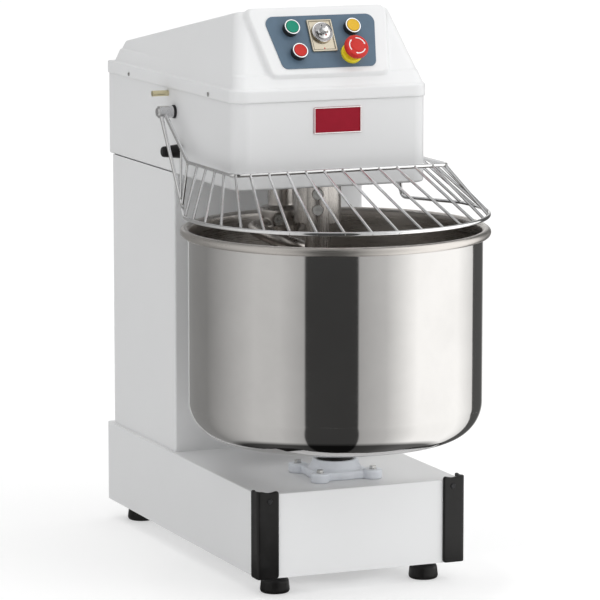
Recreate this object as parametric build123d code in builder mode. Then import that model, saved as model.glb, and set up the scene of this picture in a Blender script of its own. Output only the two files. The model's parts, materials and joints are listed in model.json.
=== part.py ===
"""Spiral dough mixer with a fixed head, a driven bowl, a spiral hook and a wire guard.

Millimetres. X runs across the machine, Y from the bowl back to the column, Z up from the floor.
Distances called "behind" are measured along Y from the bowl's axis.
"""

import os
from math import cos, pi, radians, sin

from build123d import *

os.makedirs("parts", exist_ok=True)

# ---------------------------------------------------------------- driving dimensions
BASE_WIDTH = 350
BASE_FRONT = -104  # behind the bowl axis
BASE_BACK = 587
BASE_LOW = 32.5
BASE_TOP = 168.5

COLUMN_WIDTH = 339
COLUMN_FRONT = 276
COLUMN_BACK = 568

HEAD_WIDTH = 336
HEAD_FRONT = 11
HEAD_BACK = 589.5
HEAD_LOW = 635
HEAD_TOP = 790.5
HEAD_FRONT_RADIUS = 25
HEAD_BACK_RADIUS = 6

SHEET = 2  # thickness of the folded steel
FIT = 0.05  # radial clearance of a running or located fit
GAP = 0.5  # clearance between pieces that move past each other

SKIRT_PROUD = 2.5
SKIRT_LOW = 773
SKIRT_TOP = 794.6
COVER_WALL = 4

BOWL_RADIUS = 236
BOWL_WALL = 2
BOWL_LOW = 233
BOWL_CORNER = 60
RIM_RADIUS = 241.5
BEAD_RADIUS = 7.2
RIM_Z = 565.6

PIVOT_BEHIND = 275.7
PIVOT_Z = 736.9
GUARD_WIRE = 3.2
BAR_WIRE = 2.3

# ---------------------------------------------------------------- places worked out from them
REAR_END = HEAD_BACK + SKIRT_PROUD
FRONT_END = RIM_RADIUS + BEAD_RADIUS
BOWL_Y = (FRONT_END - REAR_END) / 2


def behind(distance):
    """The Y of a point that lies this far behind the bowl's axis."""
    return BOWL_Y + distance


BASE_MID = behind((BASE_FRONT + BASE_BACK) / 2)
BASE_DEPTH = BASE_BACK - BASE_FRONT
COLUMN_MID = behind((COLUMN_FRONT + COLUMN_BACK) / 2)
COLUMN_DEPTH = COLUMN_BACK - COLUMN_FRONT
HEAD_MID = behind((HEAD_FRONT + HEAD_BACK) / 2)
HEAD_DEPTH = HEAD_BACK - HEAD_FRONT
HEAD_SIDE = HEAD_WIDTH / 2

BOWL_AXIS = (0, BOWL_Y)
SPIRAL_AXIS = (-30, behind(154))
STUB_AXIS = (-5, behind(60.5))
MOTOR_AXIS = (0, behind(430))
COUNTER_AXIS = (72, behind(330))

# ---------------------------------------------------------------- drive
FLOOR_PLATE_LOW = HEAD_LOW + SHEET
FLOOR_PLATE_TOP = FLOOR_PLATE_LOW + 8
SHAFT_RADIUS = 15
BEARING_RADIUS = 31
BEARING_WIDTH = 16
COUNTER_RADIUS = 10
MOTOR_SHAFT_RADIUS = 9.5

BIG_PULLEY_RADIUS = 123
SMALL_PULLEY_RADIUS = 26
PULLEY_LOW = 724
PULLEY_HIGH = 756
BELT_ZS = (733, 747)
BELT_TOP_HALF = 6
BELT_ROOT_HALF = 3.4
BELT_HEIGHT = 8

CHAIN_PITCH = 12.7
ROLLER_RADIUS = 4.25
SMALL_TEETH = 13
LARGE_TEETH = 41
SPROCKET_HALF = 3.5
UPPER_CHAIN_Z = 771
LOWER_CHAIN_Z = 100


def pitch_radius(teeth):
    """Radius of the circle that the chain's pins lie on."""
    return CHAIN_PITCH / (2 * sin(pi / teeth))


SMALL_PITCH = pitch_radius(SMALL_TEETH)
LARGE_PITCH = pitch_radius(LARGE_TEETH)

# ---------------------------------------------------------------- sloping control pad
PAD_TILT = 31  # degrees back from the vertical
PAD_FOOT = (17.5, 817)  # behind, height
PAD_PROUD = 8
PANEL_THICK = 1.5
PAD_PLANE = Plane(
    origin=(0, behind(PAD_FOOT[0]), PAD_FOOT[1]),
    x_dir=(1, 0, 0),
    z_dir=(0, -cos(radians(PAD_TILT)), sin(radians(PAD_TILT))),
)
DIAL_AT = (-3, 69)
SLOW_AT = (-55, 78)
STOP_AT = (-50, 36)
FAST_AT = (50.5, 77)
EMERGENCY_AT = (41, 32)
TIMER_AT = (-3.5, 65)
BUTTON_PLACES = (SLOW_AT, STOP_AT, FAST_AT)
SHANK_RADIUS = 10.5
SHANK_LENGTH = 20
PANEL_HOLE = SHANK_RADIUS + 0.3
TIMER_BODY = 40


# ---------------------------------------------------------------- helpers
def turn(points, at, mode=Mode.ADD):
    """Adds the solid of revolution of (radius, height) points about a vertical axis."""
    upright = Plane((at[0], at[1], 0), x_dir=(1, 0, 0), z_dir=(0, -1, 0))
    with BuildSketch(upright) as profile:
        with BuildLine():
            Polyline(*points, close=True)
        make_face()
    revolve(profile.sketch, axis=Axis((at[0], at[1], 0), (0, 0, 1)), mode=mode)


def disc(radius, low, high, at, mode=Mode.ADD):
    """Adds an upright cylinder between two heights."""
    with BuildSketch(Plane.XY.offset(low)) as footprint:
        with Locations(at):
            Circle(radius)
    extrude(footprint.sketch, amount=high - low, mode=mode)


def ring(outer, inner, low, high, at):
    """Adds an upright tube between two heights."""
    with BuildSketch(Plane.XY.offset(low)) as footprint:
        with Locations(at):
            Circle(outer)
            Circle(inner, mode=Mode.SUBTRACT)
    extrude(footprint.sketch, amount=high - low)


def block(width, depth, low, high, at, corner=0, mode=Mode.ADD):
    """Adds an upright prism on a rectangle whose corners may be rounded."""
    with BuildSketch(Plane.XY.offset(low)) as footprint:
        with Locations(at):
            if corner:
                RectangleRounded(width, depth, corner)
            else:
                Rectangle(width, depth)
    extrude(footprint.sketch, amount=high - low, mode=mode)


def head_outline(grow, low, high, mode=Mode.ADD):
    """Adds a prism on the head's plan, with its large front radii, grown by a margin."""
    with BuildSketch(Plane.XY.offset(low)) as plan:
        with Locations((0, HEAD_MID)):
            Rectangle(HEAD_WIDTH + 2 * grow, HEAD_DEPTH + 2 * grow)
        fillet(plan.vertices().group_by(Axis.Y)[0], HEAD_FRONT_RADIUS + grow)
        fillet(plan.vertices().group_by(Axis.Y)[-1], max(HEAD_BACK_RADIUS + grow, 1))
    extrude(plan.sketch, amount=high - low, mode=mode)


def side_plane(side, distance, at_behind, at_z):
    """A plane on one side of the machine whose normal points outwards."""
    return Plane((side * distance, behind(at_behind), at_z), x_dir=(0, side, 0), z_dir=(side, 0, 0))


def side_pin(side, start, end, at_behind, at_z, radius, mode=Mode.ADD):
    """Adds a cylinder that points sideways, between two distances from the centre plane."""
    with BuildSketch(side_plane(side, start, at_behind, at_z)) as section:
        Circle(radius)
    extrude(section.sketch, amount=end - start, mode=mode)


def pad_turn(points, at, mode=Mode.ADD):
    """Adds a solid of revolution about a control's axis, from (radius, height above the pad)."""
    seat = PAD_PLANE.from_local_coords((at[0], at[1], 0))
    upright = Plane(seat, x_dir=PAD_PLANE.x_dir, z_dir=-PAD_PLANE.y_dir)
    with BuildSketch(upright) as profile:
        with BuildLine():
            Polyline(*points, close=True)
        make_face()
    revolve(profile.sketch, axis=Axis(seat, PAD_PLANE.z_dir), mode=mode)


def pad_block(width, height, low, high, at, corner=0, mode=Mode.ADD):
    """Adds a prism standing on the sloping pad."""
    with BuildSketch(PAD_PLANE.offset(low)) as footprint:
        with Locations(at):
            if corner:
                RectangleRounded(width, height, corner)
            else:
                Rectangle(width, height)
    extrude(footprint.sketch, amount=high - low, mode=mode)


def hexagon(across, low, high, at):
    """Adds an upright hexagonal prism, measured across its flats."""
    with BuildSketch(Plane.XY.offset(low)) as footprint:
        with Locations(at):
            RegularPolygon(across / 2, 6, major_radius=False)
    extrude(footprint.sketch, amount=high - low)


# ---------------------------------------------------------------- base
BASE_TOP_PLATE = 3
HOUSING_BODY_RADIUS = 42
COUNTER_HOLE = 14
CABLE_HOLE = 22
GUARD_THICK = 5
FOOT_INSET = 45
FOOT_PLACES = [
    (side * (BASE_WIDTH / 2 - FOOT_INSET), y)
    for side in (-1, 1)
    for y in (behind(BASE_FRONT) + FOOT_INSET, behind(BASE_BACK) - FOOT_INSET)
]
STUD_RADIUS = 5

with BuildPart() as base_housing:
    block(BASE_WIDTH, BASE_DEPTH, BASE_LOW, BASE_TOP, (0, BASE_MID), corner=4)
    fillet(base_housing.faces().sort_by(Axis.Z)[-1].edges(), 2)
    inner_width = BASE_WIDTH - 2 * SHEET
    inner_depth = BASE_DEPTH - 2 * SHEET
    block(
        inner_width, inner_depth, BASE_LOW + SHEET, BASE_TOP - BASE_TOP_PLATE,
        (0, BASE_MID), corner=3, mode=Mode.SUBTRACT,
    )
    block(210, 520, BASE_LOW, BASE_LOW + SHEET, (0, BASE_MID), corner=20, mode=Mode.SUBTRACT)
    disc(HOUSING_BODY_RADIUS + GAP, BASE_LOW, BASE_TOP, BOWL_AXIS, Mode.SUBTRACT)
    disc(COUNTER_HOLE, BASE_LOW + SHEET, BASE_TOP, COUNTER_AXIS, Mode.SUBTRACT)
    disc(CABLE_HOLE, BASE_LOW + SHEET, BASE_TOP, (-90, behind(420)), Mode.SUBTRACT)
    for foot in FOOT_PLACES:
        disc(STUD_RADIUS + FIT, BASE_LOW, BASE_LOW + SHEET, foot, Mode.SUBTRACT)

with BuildPart() as rubber_feet:
    for foot in FOOT_PLACES:
        turn(
            [(0, 0), (20.5, 0), (23, 1.5), (24, 5), (22.4, 19), (21, 22), (18, 24), (18, 27), (0, 27)],
            foot,
        )
        disc(STUD_RADIUS + FIT, 12, 27, foot, Mode.SUBTRACT)

with BuildPart() as foot_studs:
    for foot in FOOT_PLACES:
        disc(STUD_RADIUS, 12, 52, foot)
        hexagon(17, 27, BASE_LOW, foot)
        hexagon(17, BASE_LOW + SHEET, BASE_LOW + SHEET + 8, foot)

GUARD_FRONT_LEG = 32
GUARD_SIDE_LEG = 24
GUARD_TOP = 174
GUARD_DIP = 1.8
GUARD_SCREW_Z = 158


def corner_guard(side):
    """One moulded bumper that wraps a front corner of the base, its top edge dished."""
    front = behind(BASE_FRONT)
    corner_x = side * BASE_WIDTH / 2
    with BuildPart() as bumper:
        with BuildSketch(Plane.XY.offset(BASE_LOW)) as section:
            with Locations((corner_x - side * GUARD_FRONT_LEG / 2 + side * GUARD_THICK / 2,
                            front - GUARD_THICK / 2)):
                Rectangle(GUARD_FRONT_LEG + GUARD_THICK, GUARD_THICK)
            with Locations((corner_x + side * GUARD_THICK / 2, front + GUARD_SIDE_LEG / 2)):
                Rectangle(GUARD_THICK, GUARD_SIDE_LEG)
            outer = section.vertices().sort_by_distance((corner_x + side * 99, front - 99, BASE_LOW))
            fillet(outer[0], 7)
        extrude(section.sketch, amount=GUARD_TOP - BASE_LOW)
        with BuildSketch(Plane((corner_x, front, 0), x_dir=(1, 0, 0), z_dir=(0, -1, 0))) as dish:
            with Locations((-side * GUARD_FRONT_LEG / 2, GUARD_TOP + 40 - GUARD_DIP)):
                Circle(40)
        extrude(dish.sketch, amount=3 * GUARD_THICK, mode=Mode.SUBTRACT)
        screw_x = corner_x - side * GUARD_FRONT_LEG / 2
        with BuildSketch(Plane((screw_x, front, GUARD_SCREW_Z), z_dir=(0, -1, 0))) as hole:
            Circle(3)
        extrude(hole.sketch, amount=2 * GUARD_THICK, mode=Mode.SUBTRACT)
    return bumper


corner_guard_left = corner_guard(-1)
corner_guard_right = corner_guard(1)

with BuildPart() as corner_guard_screws:
    for side in (-1, 1):
        screw_x = side * (BASE_WIDTH / 2 - GUARD_FRONT_LEG / 2)
        seat = Plane((screw_x, behind(BASE_FRONT), GUARD_SCREW_Z), z_dir=(0, -1, 0))
        with BuildSketch(seat) as shank:
            Circle(3 - FIT)
        extrude(shank.sketch, amount=GUARD_THICK)
        with BuildSketch(seat.offset(GUARD_THICK)) as head:
            Circle(4.5)
        extrude(head.sketch, amount=1.8, taper=25)

# ---------------------------------------------------------------- bowl bearing
BOLT_SPREAD = 92
LUG_RADIUS = 15
PLATE_THICK = 15
NECK_TOP = 197
HOUSING_LOW = 118
BOLT_RADIUS = 5
PLATE_BOLT_RADIUS = 3
BOLT_PLACES = [
    (x * BOLT_SPREAD / 2, BOWL_Y + y * BOLT_SPREAD / 2) for x in (-1, 1) for y in (-1, 1)
]

with BuildPart() as bowl_bearing_housing:
    block(BOLT_SPREAD, BOLT_SPREAD, BASE_TOP, BASE_TOP + PLATE_THICK - 2, BOWL_AXIS, corner=12)
    for bolt in BOLT_PLACES:
        disc(LUG_RADIUS, BASE_TOP, BASE_TOP + PLATE_THICK, bolt)
    turn(
        [(0, BASE_TOP), (48, BASE_TOP), (48, BASE_TOP + 9), (41, BASE_TOP + PLATE_THICK + 1),
         (37, NECK_TOP - 4), (35, NECK_TOP), (0, NECK_TOP)],
        BOWL_AXIS,
    )
    disc(HOUSING_BODY_RADIUS, HOUSING_LOW, BASE_TOP, BOWL_AXIS)
    disc(BEARING_RADIUS + FIT, HOUSING_LOW, HOUSING_LOW + BEARING_WIDTH, BOWL_AXIS, Mode.SUBTRACT)
    disc(BEARING_RADIUS + FIT, NECK_TOP - BEARING_WIDTH, NECK_TOP, BOWL_AXIS, Mode.SUBTRACT)
    disc(SHAFT_RADIUS + 5, HOUSING_LOW, NECK_TOP, BOWL_AXIS, Mode.SUBTRACT)
    for bolt in BOLT_PLACES:
        disc(PLATE_BOLT_RADIUS + FIT, BASE_TOP, BASE_TOP + PLATE_THICK, bolt, Mode.SUBTRACT)

with BuildPart() as bearing_housing_bolts:
    for bolt in BOLT_PLACES:
        top = BASE_TOP + PLATE_THICK
        disc(PLATE_BOLT_RADIUS, BASE_TOP, top, bolt)
        disc(6, top, top + 1, bolt)
        hexagon(10, top + 1, top + 5, bolt)

with BuildPart() as bowl_bearings:
    for low in (HOUSING_LOW, NECK_TOP - BEARING_WIDTH):
        ring(BEARING_RADIUS, SHAFT_RADIUS + FIT, low, low + BEARING_WIDTH, BOWL_AXIS)

with BuildPart() as bowl_shaft_seal:
    ring(29, SHAFT_RADIUS + GAP, NECK_TOP, NECK_TOP + 5, BOWL_AXIS)

# ---------------------------------------------------------------- bowl
HUB_LOW = NECK_TOP + 6
SPROCKET_HUB = 19

with BuildPart() as bowl:
    inner = BOWL_RADIUS - BOWL_WALL
    with BuildSketch(Plane((0, BOWL_Y, 0), x_dir=(1, 0, 0), z_dir=(0, -1, 0))) as wall:
        with BuildLine():
            Line((0, BOWL_LOW), (BOWL_RADIUS - BOWL_CORNER, BOWL_LOW))
            RadiusArc(
                (BOWL_RADIUS - BOWL_CORNER, BOWL_LOW), (BOWL_RADIUS, BOWL_LOW + BOWL_CORNER),
                -BOWL_CORNER,
            )
            Line((BOWL_RADIUS, BOWL_LOW + BOWL_CORNER), (BOWL_RADIUS, RIM_Z))
            Line((BOWL_RADIUS, RIM_Z), (inner, RIM_Z))
            Line((inner, RIM_Z), (inner, BOWL_LOW + BOWL_CORNER))
            RadiusArc(
                (inner, BOWL_LOW + BOWL_CORNER),
                (BOWL_RADIUS - BOWL_CORNER, BOWL_LOW + BOWL_WALL),
                BOWL_CORNER - BOWL_WALL,
            )
            Line((BOWL_RADIUS - BOWL_CORNER, BOWL_LOW + BOWL_WALL), (0, BOWL_LOW + BOWL_WALL))
            Line((0, BOWL_LOW + BOWL_WALL), (0, BOWL_LOW))
        make_face()
        with Locations((RIM_RADIUS, RIM_Z)):
            Circle(BEAD_RADIUS)
    revolve(wall.sketch, axis=Axis((0, BOWL_Y, 0), (0, 0, 1)))

with BuildPart() as bowl_hub:
    turn(
        [(0, HUB_LOW), (28, HUB_LOW), (28, 222), (60, 226), (60, BOWL_LOW), (0, BOWL_LOW)],
        BOWL_AXIS,
    )

with BuildPart() as bowl_shaft:
    disc(SHAFT_RADIUS, LOWER_CHAIN_Z - 18, HUB_LOW, BOWL_AXIS)


def sprocket(teeth, mid, at, bore, hub_radius, hub_low, hub_high):
    """Adds a chain sprocket: a toothed disc with a hub, bored for its shaft."""
    radius = pitch_radius(teeth)
    disc(radius + 4, mid - SPROCKET_HALF, mid + SPROCKET_HALF, at)
    with BuildSketch(Plane.XY.offset(mid - SPROCKET_HALF)) as seats:
        with Locations(at):
            with PolarLocations(radius, teeth):
                Circle(ROLLER_RADIUS + 0.2)
    extrude(seats.sketch, amount=2 * SPROCKET_HALF, mode=Mode.SUBTRACT)
    disc(hub_radius, hub_low, hub_high, at)
    disc(bore + FIT, hub_low - 1, hub_high + 1, at, Mode.SUBTRACT)


with BuildPart() as bowl_sprocket:
    sprocket(
        LARGE_TEETH, LOWER_CHAIN_Z, BOWL_AXIS, SHAFT_RADIUS,
        35, LOWER_CHAIN_Z - 12, LOWER_CHAIN_Z + 12,
    )

# ---------------------------------------------------------------- column
REAR_OPENING = (230, 330)
REAR_COVER = (262, 362)
REAR_COVER_Z = 420
GLAND_AT = (-118, 205)
GLAND_BORE = 5.5
GLAND_HOLE = 10
REAR_SCREWS = [
    (x * (REAR_COVER[0] / 2 - 9), REAR_COVER_Z + z * (REAR_COVER[1] / 2 - 9))
    for x in (-1, 1) for z in (-1, 0, 1)
]


def rear_plane(at):
    """A plane on the column's back wall whose normal points backwards."""
    return Plane((at[0], behind(COLUMN_BACK), at[1]), x_dir=(-1, 0, 0), z_dir=(0, 1, 0))


with BuildPart() as column_housing:
    block(COLUMN_WIDTH, COLUMN_DEPTH, BASE_TOP, HEAD_LOW, (0, COLUMN_MID), corner=4)
    block(
        COLUMN_WIDTH - 2 * SHEET, COLUMN_DEPTH - 2 * SHEET, BASE_TOP, HEAD_LOW,
        (0, COLUMN_MID), corner=2, mode=Mode.SUBTRACT,
    )
    with BuildSketch(rear_plane((0, REAR_COVER_Z))) as opening:
        RectangleRounded(REAR_OPENING[0], REAR_OPENING[1], 10)
    extrude(opening.sketch, amount=-2 * SHEET, mode=Mode.SUBTRACT)
    with BuildSketch(rear_plane(GLAND_AT)) as gland_hole:
        Circle(GLAND_HOLE + FIT)
    extrude(gland_hole.sketch, amount=-2 * SHEET, mode=Mode.SUBTRACT)
    for place in REAR_SCREWS:
        with BuildSketch(rear_plane(place)) as screw_hole:
            Circle(2 + FIT)
        extrude(screw_hole.sketch, amount=-2 * SHEET, mode=Mode.SUBTRACT)

LOUVRES = [REAR_COVER_Z - 105 + 16 * row for row in range(6)]
LOUVRES += [REAR_COVER_Z + 25 + 16 * row for row in range(6)]

with BuildPart() as rear_cover:
    with BuildSketch(rear_plane((0, REAR_COVER_Z))) as plate:
        RectangleRounded(REAR_COVER[0], REAR_COVER[1], 6)
    extrude(plate.sketch, amount=1.5)
    for height in LOUVRES:
        with BuildSketch(rear_plane((0, height))) as slot:
            SlotOverall(150, 6)
        extrude(slot.sketch, amount=1.5, mode=Mode.SUBTRACT)
    for place in REAR_SCREWS:
        with BuildSketch(rear_plane(place)) as screw_hole:
            Circle(2 + FIT)
        extrude(screw_hole.sketch, amount=1.5, mode=Mode.SUBTRACT)

with BuildPart() as cord_gland:
    with BuildSketch(rear_plane(GLAND_AT)) as nut:
        RegularPolygon(13, 6, major_radius=False)
    extrude(nut.sketch, amount=7)
    with BuildSketch(rear_plane(GLAND_AT).offset(7)) as dome:
        Circle(11)
    extrude(dome.sketch, amount=12, taper=12)
    with BuildSketch(rear_plane(GLAND_AT).offset(-12)) as thread:
        Circle(GLAND_HOLE)
    extrude(thread.sketch, amount=12)
    with BuildSketch(rear_plane(GLAND_AT).offset(-12)) as bore:
        Circle(GLAND_BORE)
    extrude(bore.sketch, amount=40, mode=Mode.SUBTRACT)

# ---------------------------------------------------------------- head
HUB_RADIUS = 21.5
STUB_RADIUS = 38
STUB_LOW = 573
BUSH_RADIUS = 10
BUSH_FLANGE = 11
PIVOT_RADIUS = 6
STOP_PIN_AT = (304.9, 764.6)
STOP_PIN_RADIUS = 4.8
BUMPER_AT = (247.1, 674.9)
SKIRT_SCREWS = (119, 481)
SKIRT_SCREW_Z = 780
BADGE_AT = (8, 742.5)
BADGE_SIZE = (82, 42)

with BuildPart() as head_housing:
    head_outline(0, HEAD_LOW, HEAD_TOP)
    fillet(head_housing.faces().sort_by(Axis.Z)[0].edges(), 4)
    head_outline(-SHEET, HEAD_LOW + SHEET, HEAD_TOP, Mode.SUBTRACT)
    disc(HUB_RADIUS + 1.5, HEAD_LOW, FLOOR_PLATE_LOW, SPIRAL_AXIS, Mode.SUBTRACT)
    disc(STUB_RADIUS + FIT, HEAD_LOW, FLOOR_PLATE_LOW, STUB_AXIS, Mode.SUBTRACT)
    disc(COUNTER_HOLE, HEAD_LOW, FLOOR_PLATE_LOW, COUNTER_AXIS, Mode.SUBTRACT)
    disc(COUNTER_HOLE, HEAD_LOW, FLOOR_PLATE_LOW, MOTOR_AXIS, Mode.SUBTRACT)
    disc(CABLE_HOLE, HEAD_LOW, FLOOR_PLATE_LOW, (-90, behind(420)), Mode.SUBTRACT)
    for side in (-1, 1):
        inside = HEAD_SIDE - 3 * SHEET
        side_pin(side, inside, HEAD_SIDE, PIVOT_BEHIND, PIVOT_Z, BUSH_RADIUS + FIT, Mode.SUBTRACT)
        for place in SKIRT_SCREWS:
            side_pin(side, inside, HEAD_SIDE, place, SKIRT_SCREW_Z, 2 + FIT, Mode.SUBTRACT)
    side_pin(-1, HEAD_SIDE - 3 * SHEET, HEAD_SIDE, *STOP_PIN_AT, STOP_PIN_RADIUS + FIT, Mode.SUBTRACT)

with BuildPart() as head_floor_plate:
    head_outline(-SHEET - 0.5, FLOOR_PLATE_LOW, FLOOR_PLATE_TOP)
    disc(HUB_RADIUS + 1.5, FLOOR_PLATE_LOW, FLOOR_PLATE_TOP, SPIRAL_AXIS, Mode.SUBTRACT)
    disc(STUB_RADIUS + FIT, FLOOR_PLATE_LOW, FLOOR_PLATE_TOP, STUB_AXIS, Mode.SUBTRACT)
    disc(COUNTER_HOLE, FLOOR_PLATE_LOW, FLOOR_PLATE_TOP, COUNTER_AXIS, Mode.SUBTRACT)
    disc(COUNTER_HOLE, FLOOR_PLATE_LOW, FLOOR_PLATE_TOP, MOTOR_AXIS, Mode.SUBTRACT)
    disc(CABLE_HOLE, FLOOR_PLATE_LOW, FLOOR_PLATE_TOP, (-90, behind(420)), Mode.SUBTRACT)

with BuildPart() as badge_plate:
    face = Plane((BADGE_AT[0], behind(HEAD_FRONT), BADGE_AT[1]), x_dir=(1, 0, 0), z_dir=(0, -1, 0))
    with BuildSketch(face) as plate:
        RectangleRounded(*BADGE_SIZE, 2)
    extrude(plate.sketch, amount=2)
    with BuildSketch(face.offset(1.2)) as recess:
        RectangleRounded(BADGE_SIZE[0] - 5, BADGE_SIZE[1] - 5, 1)
    extrude(recess.sketch, amount=1, mode=Mode.SUBTRACT)

# ---------------------------------------------------------------- top cover
CREASE_Z = 816
RIDGE = (87.5, 914)
ROOF_END = (550, 830)
BAND_OUTLINE = [(13.5, SKIRT_TOP), (25, CREASE_Z), (561, CREASE_Z), (572, SKIRT_TOP)]
UPPER_OUTLINE = [(28, CREASE_Z), RIDGE, ROOF_END, (558, CREASE_Z)]
INNER_OUTLINE = [(13.5, SKIRT_TOP), UPPER_OUTLINE[0], RIDGE, (530, 833.6), (548, SKIRT_TOP)]
CORNER_WALL = 12
OPENING_FRONT = 24  # behind; the opening in the cover's underside
OPENING_BACK = 545
COVER_FOOT_HALF = 166
COVER_LEAN = 0.277  # sideways lean of the side walls per unit of height
COVER_CEILING = 925
FACET_TOP = (-138.4, 172, 894)
FACET_NEAR = (-160.8, 326, 815)
FACET_FAR = (-156.2, 555, 815)
PAD_LENGTH = 112
PAD_LIP = 4  # the pad's top edge above the roof


def cover_form(outline, inset):
    """A closed form on a side outline between the sloping sides, all faces moved in by the inset."""
    lean = COVER_LEAN * (COVER_CEILING - SKIRT_TOP)
    front_outline = [
        (-COVER_FOOT_HALF, SKIRT_TOP), (COVER_FOOT_HALF, SKIRT_TOP),
        (COVER_FOOT_HALF - lean, COVER_CEILING), (lean - COVER_FOOT_HALF, COVER_CEILING),
    ]
    with BuildPart() as form:
        with BuildSketch(Plane((0, BOWL_Y, 0), x_dir=(0, 1, 0), z_dir=(1, 0, 0))) as side_view:
            with BuildLine():
                Polyline(*outline, close=True)
            make_face()
            if inset:
                offset(amount=-inset, kind=Kind.INTERSECTION)
        extrude(side_view.sketch, amount=HEAD_WIDTH, both=True)
        with BuildSketch(Plane((0, BOWL_Y, 0), x_dir=(1, 0, 0), z_dir=(0, -1, 0))) as front_view:
            with BuildLine():
                Polyline(*front_outline, close=True)
            make_face()
            if inset:
                offset(amount=-inset, kind=Kind.INTERSECTION)
        extrude(front_view.sketch, amount=HEAD_DEPTH * 2, both=True, mode=Mode.INTERSECT)
    return form


def facet_cut(side, inset=0):
    """What lies outside the shallow facet on the rear part of one side, above the ledge."""
    near, far, top = (
        Vector(side * -x, behind(y), z) for x, y, z in (FACET_NEAR, FACET_FAR, FACET_TOP)
    )
    outward = (far - near).cross(top - near) * side
    start = near - outward.normalized() * inset
    with BuildPart() as cut:
        block(60, HEAD_DEPTH, CREASE_Z - 1 - inset, COVER_CEILING, (side * 165, HEAD_MID))
        split(bisect_by=Plane(start, z_dir=outward), keep=Keep.TOP)
    return cut


def hollow_form():
    """The cover's inside, kept clear of the rounded front corners and of the side facets."""
    form = cover_form(INNER_OUTLINE, COVER_WALL)
    corner_half = COVER_FOOT_HALF - COVER_LEAN * (CREASE_Z - SKIRT_TOP)
    corner_y = behind(UPPER_OUTLINE[0][0])
    with BuildPart() as hollow:
        add(form.part)
        for side in (-1, 1):
            outward = Vector(side, 0, COVER_LEAN).normalized() + PAD_PLANE.z_dir
            corner = Vector(side * corner_half, corner_y, CREASE_Z)
            start = corner - outward.normalized() * CORNER_WALL
            split(bisect_by=Plane(start, z_dir=outward), keep=Keep.BOTTOM)
            add(facet_cut(side, COVER_WALL).part, mode=Mode.SUBTRACT)
    return hollow


def pad_form():
    """The raised pad on the front slope, bevelled, its top cut parallel to the roof."""
    bevel = 5.6
    with BuildPart() as pad:
        with BuildSketch(PAD_PLANE.offset(-PAD_PROUD)) as plan:
            with BuildLine():
                Polyline(
                    (-99 - bevel, -bevel), (99 + bevel, -bevel),
                    (122 + bevel, PAD_LENGTH + 2 * bevel), (-122 - bevel, PAD_LENGTH + 2 * bevel),
                    close=True,
                )
            make_face()
            fillet(plan.vertices(), 16)
        extrude(plan.sketch, amount=PAD_PROUD, taper=35)
        fillet(pad.faces().sort_by(SortBy.AREA)[-1].edges(), 2)
        extrude(plan.sketch, amount=-16)
        roof = Vector(0, ROOF_END[0] - RIDGE[0], ROOF_END[1] - RIDGE[1]).normalized()
        above = roof.cross(Vector(-1, 0, 0))
        ridge = Vector(0, behind(RIDGE[0]), RIDGE[1])
        split(bisect_by=Plane(ridge + above * PAD_LIP, z_dir=above), keep=Keep.BOTTOM)
    return pad


def rising_edges(piece, front):
    """The edges that rise between a side wall and the front slope, or the back wall."""
    middle = behind((HEAD_FRONT + HEAD_BACK) / 2)
    return piece.edges().filter_by(
        lambda edge: (edge.center().Y < middle) == front
        and abs(edge.center().X) > 125
        and edge.bounding_box().size.Z > max(10, edge.bounding_box().size.Y)
    )


def rounded_form(outline, front_radius, back_radius):
    """A cover form with its four rising corners rounded."""
    form = cover_form(outline, 0)
    with BuildPart() as rounded:
        add(form.part)
        fillet(rising_edges(rounded, True), front_radius)
        fillet(rising_edges(rounded, False), back_radius)
    return rounded


cover_band = rounded_form(BAND_OUTLINE, 20, 12)
cover_upper = rounded_form(UPPER_OUTLINE, 20, 12)
cover_inner = hollow_form()
cover_pad = pad_form()
cover_cuts = [facet_cut(-1), facet_cut(1)]

with BuildPart() as top_cover:
    add(cover_upper.part)
    roof = top_cover.faces().filter_by(lambda face: face.normal_at().Z > 0.9)
    fillet(roof.edges(), 8)
    for cut in cover_cuts:
        add(cut.part, mode=Mode.SUBTRACT)
    add(cover_band.part)
    add(cover_pad.part)
    head_outline(SKIRT_PROUD, SKIRT_LOW, SKIRT_TOP)
    fillet(top_cover.faces().filter_by(Axis.Z).group_by(Axis.Z)[-1].edges().group_by(
        SortBy.LENGTH)[-1], 0.8)
    add(cover_inner.part, mode=Mode.SUBTRACT)
    block(
        HEAD_WIDTH - 24, OPENING_BACK - OPENING_FRONT, SKIRT_LOW, SKIRT_TOP + COVER_WALL + 1,
        (0, behind((OPENING_FRONT + OPENING_BACK) / 2)), corner=14, mode=Mode.SUBTRACT,
    )
    head_outline(FIT, SKIRT_LOW, HEAD_TOP + GAP, Mode.SUBTRACT)
    for place in BUTTON_PLACES + (EMERGENCY_AT,):
        pad_turn([(0, -30), (PANEL_HOLE, -30), (PANEL_HOLE, 1), (0, 1)], place, Mode.SUBTRACT)
    pad_block(TIMER_BODY + 1, TIMER_BODY + 1, -30, 1, TIMER_AT, mode=Mode.SUBTRACT)
    for side in (-1, 1):
        for place in SKIRT_SCREWS:
            side_pin(side, HEAD_SIDE, HEAD_SIDE + 6, place, SKIRT_SCREW_Z, 2 + FIT, Mode.SUBTRACT)

with BuildPart() as cover_screws:
    for side in (-1, 1):
        for place in SKIRT_SCREWS:
            outer = HEAD_SIDE + SKIRT_PROUD
            side_pin(side, HEAD_SIDE - 5, outer, place, SKIRT_SCREW_Z, 2)
            side_pin(side, outer, outer + 1.2, place, SKIRT_SCREW_Z, 3.5)
    for place in REAR_SCREWS:
        with BuildSketch(rear_plane(place).offset(-4)) as shank:
            Circle(2)
        extrude(shank.sketch, amount=5.5)
        with BuildSketch(rear_plane(place).offset(1.5)) as screw_head:
            Circle(4)
        extrude(screw_head.sketch, amount=2)

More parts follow.
